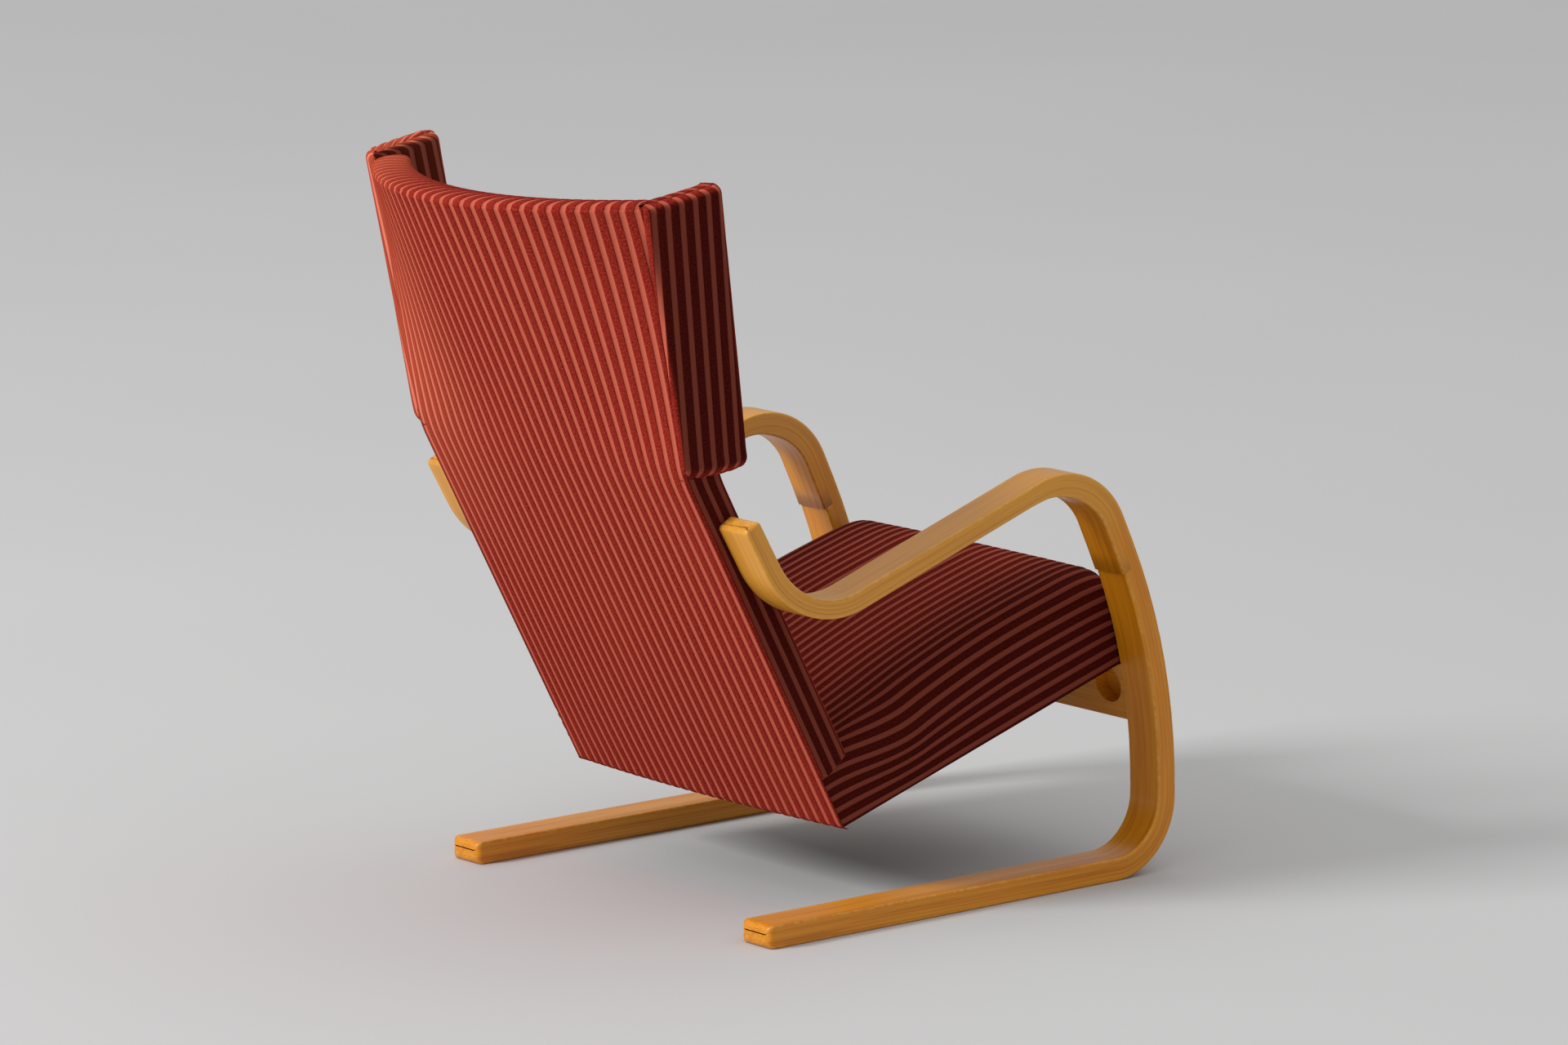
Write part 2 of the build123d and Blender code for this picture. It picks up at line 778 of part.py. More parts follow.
# Wings: a board on each stile inside a padded cover
wing_slant = atan2(wing_front_height - wing_rear_height, wing_top_depth)
wing_top_plane = Plane(
    origin=(0, rear_edge(wing_rear_height)[0], wing_rear_height),
    x_dir=(1, 0, 0),
    z_dir=(0, sin(wing_slant), cos(wing_slant)),
)
wing_base = wing_foot_height + fit_gap
for name, side in sides:
    with BuildPart() as wing_board_piece:
        add(wing_board_form(side, 0))
    finish(wing_board_piece, f"{name}_wing_board")

    with BuildPart() as wing:
        loft([wing_section(side, h) for h in (wing_base, wing_front_height + wing_nose)], ruled=True)
        split(bisect_by=wing_top_plane, keep=Keep.BOTTOM)
        add(wing_board_form(side, touch_gap), mode=Mode.SUBTRACT)
        add(
            back_slab(
                [wing_foot_height - fit_gap] + upper_heights[1:],
                beside(side, lining - touch_gap, stile_inset + touch_gap),
                0,
                frame_far + touch_gap,
            ),
            mode=Mode.SUBTRACT,
        )
    finish(wing, f"{name}_wing_pad")
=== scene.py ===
"""Looks of a high back wing armchair: bent laminated frames and striped upholstery.

Lengths are in metres. The sitter faces -Y, +Z is up and +X is the sitter's left.
"""

import json
import logging
import math
from dataclasses import dataclass, replace
from enum import Enum
from functools import partial
from typing import Callable, Sequence

import bmesh
import bpy
import numpy as np
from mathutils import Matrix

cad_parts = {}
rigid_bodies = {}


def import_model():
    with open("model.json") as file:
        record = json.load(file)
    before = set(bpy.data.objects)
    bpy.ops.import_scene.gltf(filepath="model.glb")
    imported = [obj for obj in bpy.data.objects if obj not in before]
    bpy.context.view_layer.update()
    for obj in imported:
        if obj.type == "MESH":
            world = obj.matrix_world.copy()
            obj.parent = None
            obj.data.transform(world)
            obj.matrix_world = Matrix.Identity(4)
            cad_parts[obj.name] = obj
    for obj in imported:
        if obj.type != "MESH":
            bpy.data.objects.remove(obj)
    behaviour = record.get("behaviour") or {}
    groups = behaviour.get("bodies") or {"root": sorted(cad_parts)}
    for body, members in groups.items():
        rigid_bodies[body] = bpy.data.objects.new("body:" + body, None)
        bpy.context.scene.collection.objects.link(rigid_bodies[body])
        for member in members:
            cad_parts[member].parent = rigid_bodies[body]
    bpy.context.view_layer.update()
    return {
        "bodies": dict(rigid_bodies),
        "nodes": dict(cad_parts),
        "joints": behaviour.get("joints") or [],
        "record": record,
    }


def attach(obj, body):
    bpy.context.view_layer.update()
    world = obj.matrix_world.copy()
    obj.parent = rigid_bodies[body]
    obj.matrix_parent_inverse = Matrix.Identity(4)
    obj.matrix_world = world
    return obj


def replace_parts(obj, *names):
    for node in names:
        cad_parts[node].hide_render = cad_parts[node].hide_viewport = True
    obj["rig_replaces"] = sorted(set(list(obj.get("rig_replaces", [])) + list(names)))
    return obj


LOG = logging.getLogger("armchair")
Array = np.ndarray
Surface = Callable[[Array, Array], Array]
Pair = tuple[float, float]
Triple = tuple[float, float, float]
Colour = tuple[float, float, float, float]

BODY = "root"
UV_NAME = "fabric"
# name of the attribute of painted shade, which darkens the fabric where less light falls on it
PAINTED_SHADE = "nap"
GRAIN = "grain"
WEAR = "wear"
QUARTER_TURN = math.pi / 2.0
TINY = 1e-12


class Side(Enum):
    """The two sides of the chair, as the sign of X."""

    LEFT = 1
    RIGHT = -1

    @property
    def label(self) -> str:
        """Name that starts the names of this side's pieces."""
        return self.name.lower()


class Slot(Enum):
    """Material slots of the record."""

    BIRCH = "birch"
    TIMBER = "inner_timber"
    FABRIC = "striped_fabric"
    PADDING = "padding"
    WEBBING = "webbing"
    LINING = "lining_cloth"
    STEEL = "steel"


# Small geometry helpers


def smooth_step(low: float, high: float, value: Array) -> Array:
    """Ease values from 0 at the low limit to 1 at the high one."""
    share = np.clip((value - low) / (high - low), 0.0, 1.0)
    return share * share * (3.0 - 2.0 * share)


def curl(distance: Array, radius: float) -> Array:
    """Depth of a rounded edge below its face, by the distance from the edge along the face."""
    inside = np.clip(radius - distance, 0.0, radius)
    return radius - np.sqrt(radius**2 - inside**2)


def unit(vector: Array) -> Array:
    """Direction of a vector."""
    return vector / np.linalg.norm(vector)


def lengths_along(line: Array) -> Array:
    """Length from the first point of a line to each of its points."""
    spans = np.linalg.norm(np.diff(line, axis=0), axis=1)
    return np.concatenate([[0.0], np.cumsum(spans)])


def lookup(places: Array, known: Array, table: Array) -> Array:
    """Rows of a table at places between the known ones."""
    return np.stack([np.interp(places, known, column) for column in table.T], axis=1)


def normals_of(grid: Array) -> Array:
    """Unit normals of a grid of points, along columns cross rows."""
    normal = np.cross(np.gradient(grid, axis=1), np.gradient(grid, axis=0))
    return normal / np.maximum(np.linalg.norm(normal, axis=2, keepdims=True), TINY)


def rounded_path(corners: Array, radii: Sequence[float], steps: int) -> Array:
    """Line with rounded corners.

    Args:
        corners: Ends and corners, one row each.
        radii: Radius at each corner between the ends.
        steps: How many points each rounding gets.

    Returns:
        Points of the line.
    """
    line = [corners[0]]
    share = np.linspace(0.0, 1.0, steps)[:, None]
    for before, corner, after, radius in zip(corners, corners[1:], corners[2:], radii):
        first, second = unit(before - corner), unit(after - corner)
        half_angle = math.acos(float(np.clip(first @ second, -1.0, 1.0))) / 2.0
        centre = corner + unit(first + second) * radius / math.sin(half_angle)
        reach = radius / math.tan(half_angle)
        start, end = corner + first * reach - centre, corner + second * reach - centre
        turn = math.pi - 2.0 * half_angle
        mixed = np.sin((1.0 - share) * turn) * start + np.sin(share * turn) * end
        line.extend(centre + mixed / math.sin(turn))
    return np.array([*line, corners[-1]])


def grid_quads(
    shape: Sequence[int], start: int = 0, flipped: bool = False, closed: bool = False
) -> list[list[int]]:
    """Quads between the points of a grid.

    Args:
        shape: Rows and columns of the grid.
        start: Index of its first point in the mesh.
        flipped: Whether the quads turn the other way.
        closed: Whether the last column joins the first.

    Returns:
        Corner indices of each quad.
    """
    index = start + np.arange(shape[0] * shape[1]).reshape(shape[0], shape[1])
    if closed:
        index = np.column_stack([index, index[:, :1]])
    quads = np.stack([index[:-1, :-1], index[:-1, 1:], index[1:, 1:], index[1:, :-1]], axis=2)
    return quads.reshape(-1, 4)[:, :: -1 if flipped else 1].tolist()


def new_mesh(name: str, points: Array, faces: Sequence) -> bpy.types.Mesh:
    """Start a mesh.

    Args:
        name: Its name.
        points: Its points, in an array of any shape.
        faces: Corner indices of its faces.

    Returns:
        The mesh.
    """
    mesh = bpy.data.meshes.new(name)
    mesh.from_pydata(points.reshape(-1, 3).tolist(), [], faces)
    return mesh


def place_object(name: str, data: bpy.types.ID) -> bpy.types.Object:
    """Put a mesh, a light or a camera into the scene.

    Args:
        name: Name of the object.
        data: What it shows.

    Returns:
        The new object.
    """
    placed = bpy.data.objects.new(name, data)
    bpy.context.scene.collection.objects.link(placed)
    return placed


def hand_over(
    name: str, mesh: bpy.types.Mesh, material: bpy.types.Material, slot: Slot, nodes: Sequence[str]
) -> bpy.types.Object:
    """Make a finished mesh a piece of the chair.

    Args:
        name: Name of the piece.
        mesh: Its mesh.
        material: Its finish.
        slot: The record's slot for that finish; not used.
        nodes: CAD nodes that it stands for.

    Returns:
        The piece, riding on the chair's body.
    """
    mesh.shade_smooth()
    mesh.materials.append(material)
    piece = place_object(name, mesh)
    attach(piece, BODY)
    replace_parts(piece, *nodes)
    return piece


# Striped fabric


@dataclass(frozen=True)
class Stripes:
    """Raised bands with flat narrow stripes between them, on fabric that may be stretched."""

    pitch: float = 0.0169
    band: float = 0.0099
    rise: float = 0.0010
    stretch: float = 1.0
    flank_power: int = 12
    flank: tuple[float, ...] = (0.0, 0.02, 0.06, 0.16, 0.5, 0.84, 0.94, 0.98, 1.0)
    end_margin: float = 2e-4

    def height(self, across: Array) -> Array:
        """Rise of the fabric's face over its backing, zero on the narrow stripes."""
        share = np.clip(2.0 * np.mod(across / self.stretch, self.pitch) / self.band - 1.0, -1.0, 1.0)
        return self.rise * np.sqrt(1.0 - share**self.flank_power)

    def stations(self, low: float, high: float) -> Array:
        """Columns that follow the bands closely.

        Args:
            low: First distance across the stripes.
            high: Last distance.

        Returns:
            Sorted distances, dense on the flanks of each band.
        """
        middle = (self.band + self.pitch) / 2.0
        cell = np.append(np.array(self.flank) * self.band, middle) * self.stretch
        pitch = self.pitch * self.stretch
        cells = np.arange(math.floor(low / pitch), math.ceil(high / pitch) + 1)
        places = (cells[:, None] * pitch + cell).ravel()
        inner = places[(places > low + self.end_margin) & (places < high - self.end_margin)]
        return np.concatenate([[low], inner, [high]])


@dataclass(frozen=True)
class Stuffing:
    """Padding that blows a panel out between its sewn edges, by a short cloth simulation."""

    span: Pair
    cap: float
    columns: int = 30
    row_step: float = 0.016
    fewest_rows: int = 12
    pressure: float = 4.0
    frames: int = 20

    def simulate(self, base: Array, flipped: bool) -> Array:
        """Blow a coarse grid out.

        Args:
            base: Points of the grid, which is sewn down all round.
            flipped: Whether its quads turn the other way.

        Returns:
            How far each point moves, up to the cap.
        """
        scene = bpy.context.scene
        mesh = new_mesh("stuffing", base, grid_quads(base.shape, flipped=flipped))
        panel = place_object("stuffing", mesh)
        sewn = np.ones(base.shape[:2], dtype=bool)
        sewn[1:-1, 1:-1] = False
        panel.vertex_groups.new(name="sewn").add(np.flatnonzero(sewn).tolist(), 1.0, "REPLACE")
        cloth = panel.modifiers.new("Cloth", "CLOTH")
        cloth.settings.vertex_group_mass = "sewn"
        cloth.settings.use_pressure = True
        cloth.settings.uniform_pressure_force = self.pressure
        cloth.settings.effector_weights.gravity = 0.0
        cloth.collision_settings.use_collision = False
        for frame in range(1, self.frames + 1):
            scene.frame_set(frame)
        blown = panel.evaluated_get(bpy.context.evaluated_depsgraph_get()).to_mesh()
        moved = np.empty(base.size, dtype=np.float32)
        blown.vertices.foreach_get("co", moved)
        shift = moved.reshape(base.shape) - base
        bpy.data.objects.remove(panel)
        bpy.data.meshes.remove(mesh)
        scene.frame_set(1)
        most = float(np.linalg.norm(shift, axis=2).max())
        LOG.info("stuffing moved its panel by up to %.1f mm", 1000.0 * most)
        return shift * min(1.0, self.cap / max(most, TINY))

    def shift(self, surface: Surface, u: Array, v: Array, outward: float) -> Array:
        """How far the points of a fine grid move.

        Args:
            surface: Function from distances across and along to points.
            u: Distances across.
            v: Distances along.
            outward: 1 where columns cross rows points out of the chair, else -1.
        """
        along = v[:, 0]
        count = max(self.fewest_rows, round((along[-1] - along[0]) / self.row_step))
        columns = np.linspace(*self.span, self.columns)
        rows = np.linspace(along[0], along[-1], count)
        coarse = self.simulate(surface(*np.meshgrid(columns, rows)), outward < 0)
        loose = (u[0] >= columns[0]) & (u[0] <= columns[-1])
        wide = np.array([lookup(u[0], columns, row) * loose[:, None] for row in coarse])
        return np.stack([lookup(along, rows, column) for column in np.moveaxis(wide, 1, 0)], axis=1)


@dataclass
class Patch:
    """A grid of points with fabric coordinates and the painted shade that darkens them."""

    points: Array
    fabric: Array
    nap: Array
    flipped: bool = False


@dataclass(frozen=True)
class Panel:
    """A piece of striped fabric as a ribbed grid.

    Its surface takes distances across and along the stripes and gives points. Its painted shade darkens it
    where it faces sideways, by the X of its normal.
    """

    surface: Surface
    stripes: Stripes
    phase: float = 0.0
    stuffing: Stuffing | None = None
    dark_range: Pair = (0.72, 0.97)

    def grid(self, across: Pair, along: Array, outward: float) -> Patch:
        """Make the ribbed grid.

        Args:
            across: Range of distances across the stripes.
            along: Distances along the stripes.
            outward: 1 where columns cross rows points out of the chair, else -1.

        Returns:
            The panel's points, with their places in the fabric.
        """
        columns = self.stripes.stations(across[0] + self.phase, across[1] + self.phase) - self.phase
        u, v = np.meshgrid(columns, along)
        points = self.surface(u, v)
        if self.stuffing:
            points = points + self.stuffing.shift(self.surface, u, v, outward)
        normals = normals_of(points) * outward
        lift = self.stripes.height(u + self.phase)[:, :, None]
        # painted shade: darker where the panel faces sideways, for the shade and the pile's dark look on the
        # chair's sides
        nap = smooth_step(*self.dark_range, np.abs(normals[:, :, 0]))
        fabric = np.stack([(u + self.phase) / self.stripes.stretch, v], axis=2)
        return Patch(points + normals * lift, fabric, nap, outward < 0)


@dataclass(frozen=True)
class FabricPiece:
    """One upholstered piece, sewn from patches that share edges.

    Its fill, how tightly it is stuffed from 0 to 1, is not used.
    """

    name: str
    nodes: tuple[str, ...]
    fill: float
    weld: float = 2e-5
    sliver: float = 1e-6

    def build(self, patches: Sequence[Patch], material: bpy.types.Material) -> bpy.types.Object:
        """Make the mesh and hand it to the frame.

        Args:
            patches: Its grids.
            material: Its fabric.

        Returns:
            The finished piece.
        """
        faces, count = [], 0
        for patch in patches:
            faces += grid_quads(patch.nap.shape, count, patch.flipped)
            count += patch.nap.size
        points = np.concatenate([patch.points.reshape(-1, 3) for patch in patches])
        fabric = np.concatenate([patch.fabric.reshape(-1, 2) for patch in patches])
        nap = np.concatenate([patch.nap.ravel() for patch in patches])
        mesh = new_mesh(self.name, points, faces)
        mesh.attributes.new(PAINTED_SHADE, "FLOAT", "POINT").data.foreach_set("value", nap)
        corners = np.empty(len(mesh.loops), dtype=np.int32)
        mesh.loops.foreach_get("vertex_index", corners)
        mesh.uv_layers.new(name=UV_NAME).data.foreach_set("uv", fabric[corners].ravel())
        work = bmesh.new()
        work.from_mesh(mesh)
        bmesh.ops.remove_doubles(work, verts=work.verts, dist=self.weld)
        bmesh.ops.dissolve_degenerate(work, dist=self.sliver, edges=work.edges)
        work.to_mesh(mesh)
        work.free()
        piece = hand_over(self.name, mesh, material, Slot.FABRIC, self.nodes)
        return piece


# Upholstered back


@dataclass(frozen=True)
class BackForm:
    """Rear face of the back: level arcs whose bow grows behind the wings.

    Foot, bend and top are Y and Z of its side edges.
    """

    foot: Pair = (0.0395, 0.112)
    bend: Pair = (0.280, 0.560)
    top: Pair = (0.340, 0.872)
    low_bulge: float = 0.012
    top_bulge: float = 0.103
    low_half: float = 0.2515
    half_gain: float = 0.0035
    thickness: float = 0.0545
    top_dip: float = 0.008
    crown: float = 0.010
    fan: float = 0.043
    softness: float = 0.020

    def upper_share(self, z: Array) -> Array:
        """Share of the way from the wings' foot to the top edge.

        Args:
            z: Heights.

        Returns:
            Shares, zero below the wings and above 1 over the top edge.
        """
        rise = (z - self.bend[1]) / self.softness
        soft = np.where(rise < -1, 0.0, np.where(rise > 1, rise, (rise + 1) ** 2 / 4))
        return soft * self.softness / (self.top[1] - self.bend[1])

    def held_share(self, z: Array) -> Array:
        """The same share, held at 1 over the top edge."""
        return np.minimum(self.upper_share(z), 1.0)

    def edge(self, z: Array) -> Array:
        """Y of the rear face at the side edges.

        Args:
            z: Heights.

        Returns:
            Y of the edge.
        """
        low_lean = (self.bend[0] - self.foot[0]) / (self.bend[1] - self.foot[1])
        top_lean = (self.top[0] - self.bend[0]) / (self.top[1] - self.bend[1])
        rise = (self.top[1] - self.bend[1]) * self.upper_share(z)
        return self.foot[0] + low_lean * (z - self.foot[1]) + (top_lean - low_lean) * rise

    def half(self, z: Array) -> Array:
        """Half width of the back."""
        return self.low_half + self.half_gain * self.upper_share(z)

    def bulge(self, z: Array) -> Array:
        """How far the middle stands behind the edges."""
        return self.low_bulge + (self.top_bulge - self.low_bulge) * self.held_share(z)

    def radius(self, z: Array) -> Array:
        """Radius of the bow."""
        half, bulge = self.half(z), self.bulge(z)
        return (half**2 + bulge**2) / (2.0 * bulge)

    def rear(self, x: Array, z: Array) -> Array:
        """Y of the rear face."""
        radius, held = self.radius(z), np.minimum(np.abs(x), self.half(z))
        return self.edge(z) + self.bulge(z) - radius + np.sqrt(radius**2 - held**2)

    def inside(self, x: Array, z: Array) -> Array:
        """Y of the inside face, padded forwards in the middle."""
        share = np.clip(x / self.half(z), -1.0, 1.0)
        return self.rear(x, z) - self.thickness - self.crown * (1.0 - share**2)

    def arc_half(self, z: Array) -> Array:
        """Half of the rear face's width, measured along its bow."""
        radius = self.radius(z)
        return radius * np.arcsin(self.half(z) / radius)

    def arc_x(self, u: Array, z: Array) -> Array:
        """X at a distance across the fabric, which is stretched a little towards the top."""
        radius = self.radius(z)
        return radius * np.sin(u * (1.0 + self.fan * self.held_share(z)) / radius)

    def dipped(self, x: Array, z: Array) -> Array:
        """Heights with the dip of the top edge, low in the middle and high at the wings."""
        dip = self.top_dip * ((x / self.low_half) ** 2 - 0.5)
        return z + dip * self.held_share(z) ** 2


@dataclass(frozen=True)
class OutsideBack:
    """Fabric panel on the rear of the back, sewn round its edges, with painted shade darkening it towards its
    foot.
    """

    form: BackForm
    stripes: Stripes
    phase: float = 0.0063
    fold: float = 0.0018
    foot_fold: float = 0.006
    foot_rows: tuple[float, ...] = (0.0, 0.06, 0.2, 0.45, 0.75, 1.2)
    top_rows: tuple[float, ...] = (3.0, 1.0, 0.4, 0.1, 0.0)
    margins: Pair = (0.020, 0.014)
    rows: int = 96
    stuffing: Stuffing = Stuffing(span=(-0.246, 0.246), cap=0.003)
    # strength and heights of the painted shade towards the foot
    foot_painted_shade: float = 0.16
    foot_painted_shade_range: Pair = (0.12, 0.50)
    fill: float = 0.8

    def surface(self, u: Array, z: Array) -> Array:
        """Points of the panel.

        Args:
            u: Distances across, along the bow.
            z: Heights.

        Returns:
            Points.
        """
        half = self.form.half(z)
        x = np.clip(self.form.arc_x(u, z), -half, half)
        tuck = curl(half - np.abs(x), self.fold)
        tuck = tuck + curl(z - self.form.foot[1], self.foot_fold) + curl(self.form.top[1] - z, self.fold)
        return np.stack([x, self.form.rear(x, z) - tuck, self.form.dipped(x, z)], axis=2)

    def build(self, material: bpy.types.Material) -> bpy.types.Object:
        """Make the panel.

        Args:
            material: Its fabric.

        Returns:
            The finished piece.
        """
        foot, top = self.form.foot[1], self.form.top[1]
        along = np.concatenate(
            [
                foot + self.foot_fold * np.array(self.foot_rows),
                np.linspace(foot + self.margins[0], top - self.margins[1], self.rows),
                top - self.fold * np.array(self.top_rows),
            ]
        )
        reach = float(self.form.arc_half(top))
        panel = Panel(self.surface, self.stripes, self.phase, self.stuffing)
        patch = panel.grid((-reach, reach), along, -1.0)
        # painted shade growing towards the foot, where less light reaches the downward-facing panel
        foot_painted_shade = self.foot_painted_shade * (1.0 - smooth_step(*self.foot_painted_shade_range, patch.points[:, :, 2]))
        patch.nap = np.maximum(patch.nap, foot_painted_shade)
        return FabricPiece("outside_back", ("outside_back_panel",), self.fill).build([patch], material)


@dataclass(frozen=True)
class InsideBack:
    """Padded front of the back, whose fabric rolls over the top to the rear seam."""

    form: BackForm
    stripes: Stripes
    phase: float = OutsideBack.phase
    edge_round: float = 0.016
    edge_inset: float = 0.002
    roll_rise: float = 0.008
    roll_end: float = 0.014
    roll_power: float = 0.7
    seam_inset: float = 0.0015
    low: float = 0.165
    reach: float = 0.322
    rows: int = 90
    roll_rows: int = 25
    stuffing: Stuffing = Stuffing(span=(-0.236, 0.236), cap=0.008)
    fill: float = 0.7

    def face(self, u: Array, z: Array) -> Array:
        """Points of the front face.

        Args:
            u: Distances across.
            z: Heights.

        Returns:
            Points.
        """
        half = self.form.half(z) - self.edge_inset
        lean = 1.0 - self.form.thickness / 2.0 / self.form.radius(z)
        x = np.clip(self.form.arc_x(u, z) * lean, -half, half)
        drop = curl(half - np.abs(x), self.edge_round)
        return np.stack([x, self.form.inside(x, z) + drop, self.form.dipped(x, z)], axis=2)

    def roll(self, u: Array, t: Array) -> Array:
        """Points of the roll over the top, from the front face to the rear seam.

        Args:
            u: Distances across.
            t: Share of the way over the roll.

        Returns:
            Points.
        """
        top = np.full_like(u, self.form.top[1])
        half = self.form.half(top)
        front_x, front_y, _ = np.moveaxis(self.face(u, top), 2, 0)
        rear_x = np.clip(self.form.arc_x(u, top), -half, half)
        rear_y = self.form.rear(rear_x, top) - self.seam_inset
        share = (1.0 - np.cos(np.pi * t)) / 2.0
        x = front_x + (rear_x - front_x) * share
        y = front_y + (rear_y - front_y) * share
        rise = self.roll_rise - curl(half + self.edge_inset - np.abs(x), self.roll_end)
        z = self.form.dipped(x, top) + rise * np.sin(np.pi * t) ** self.roll_power
        return np.stack([x, y, z], axis=2)

    def build(self, material: bpy.types.Material) -> bpy.types.Object:
        """Make the front with its roll.

        Args:
            material: Its fabric.

        Returns:
            The finished piece.
        """
        top = self.form.top[1]
        span = (-self.reach, self.reach)
        face = Panel(self.face, self.stripes, self.phase, self.stuffing)
        front = face.grid(span, np.linspace(self.low, top, self.rows), 1.0)
        over = Panel(self.roll, self.stripes, self.phase)
        roll = over.grid(span, np.linspace(0.0, 1.0, self.roll_rows), 1.0)
        roll.fabric[:, :, 1] = top + roll.fabric[:, :, 1] * self.form.thickness
        nodes = ("inside_back_cover", "back_padding", "back_top_roll")
        return FabricPiece("inside_back", nodes, self.fill).build([front, roll], material)


@dataclass(frozen=True)
class BackBorder:
    """Strip along one side of the back, from the seat up to the wing."""

    form: BackForm
    stripes: Stripes
    side: Side
    phase: float = 0.006
    stretch: float = 1.08
    foot: float = 0.180
    foot_slant: float = 0.024
    slant_start: float = 0.013
    slant_run: float = 0.043
    slant_height: float = 0.08
    front_round: float = 0.008
    rear_round: float = 0.003
    proud: float = 0.0012
    hem: float = 0.008
    hem_step: float = 0.0004
    row_range: Pair = (0.183, 0.575)
    rows: int = 54
    fill: float = 0.8

    def surface(self, u: Array, z: Array) -> Array:
        """Points of the strip.

        Args:
            u: Depths in front of the rear edge.
            z: Heights.

        Returns:
            Points.
        """
        slant = self.foot_slant * np.clip((u - self.slant_start) / self.slant_run, 0.0, 1.0)
        height = z + slant * (1.0 - smooth_step(self.foot, self.foot + self.slant_height, z))
        x = self.form.half(height) + self.proud - curl(self.form.thickness - u, self.front_round)
        hem = self.hem * (1.0 - smooth_step(0.0, self.hem_step, z - self.foot))
        x = x - curl(u, self.rear_round) - hem
        return np.stack([self.side.value * x, self.form.edge(height) - u, height], axis=2)

    def build(self, material: bpy.types.Material) -> bpy.types.Object:
        """Make the strip.

        Args:
            material: Its fabric.

        Returns:
            The finished piece.
        """
        hem_rows = self.foot + self.hem_step * np.array([0.0, 1.0, 3.0])
        along = np.append(hem_rows, np.linspace(*self.row_range, self.rows))
        panel = Panel(self.surface, replace(self.stripes, stretch=self.stretch), self.phase)
        patch = panel.grid((0.0, self.form.thickness), along, -float(self.side.value))
        label = self.side.label
        strip = FabricPiece(f"{label}_back_border", (f"back_{label}_border",), self.fill)
        return strip.build([patch], material)


# Seat


@dataclass(frozen=True)
class SeatForm:
    """Seat on its sloping underside: distances along it from the rear, and heights square to it."""

    foot: Pair = BackForm.foot
    slope: float = math.radians(17.65)
    half: float = 0.2512
    shoulder: float = 0.058
    rear_shoulder: float = 0.020
    shoulder_run: float = 0.17
    crown: float = 0.002
    rear_lean: float = -0.187
    rear_gap: float = 0.0005
    front_round: float = 0.005
    knot_steps: int = 40
    profile: tuple[Pair, ...] = (
        (-0.020, 0.088),
        (0.060, 0.101),
        (0.162, 0.118),
        (0.260, 0.1275),
        (0.335, 0.130),
        (0.405, 0.129),
        (0.450, 0.126),
        (0.478, 0.1185),
        (0.4905, 0.104),
        (0.4935, 0.080),
        (0.4935, 0.045),
        (0.4925, 0.001),
    )

    def points(self, x: Array, along: Array, height: Array) -> Array:
        """Points in the chair's frame.

        Args:
            x: Distances from the middle.
            along: Distances along the seat from its rear foot.
            height: Heights square to the underside.

        Returns:
            Points.
        """
        y = self.foot[0] - along * math.cos(self.slope) + height * math.sin(self.slope)
        z = self.foot[1] + along * math.sin(self.slope) + height * math.cos(self.slope)
        return np.stack(np.broadcast_arrays(x, y, z), axis=-1)

    def curve(self, count: int) -> tuple[Array, Array]:
        """Smooth middle line over the top and down the front, through the profile's knots.

        Args:
            count: How many points to give.

        Returns:
            Points (along, height) and their lengths from the rear.
        """
        knots = np.array(self.profile)
        ends = np.vstack([2 * knots[0] - knots[1], knots, 2 * knots[-1] - knots[-2]])
        share = np.linspace(0.0, len(knots) - 1.0, self.knot_steps * len(knots))
        cell = np.minimum(share.astype(int), len(knots) - 2)
        t = (share - cell)[:, None]
        p0, p1, p2, p3 = (ends[cell + i] for i in range(4))
        bend = 2 * p0 - 5 * p1 + 4 * p2 - p3
        dense = 0.5 * (2 * p1 + (p2 - p0) * t + bend * t**2 + (3 * p1 - p0 - 3 * p2 + p3) * t**3)
        length = lengths_along(dense)
        even = np.linspace(0.0, length[-1], count)
        return lookup(even, length, dense), even


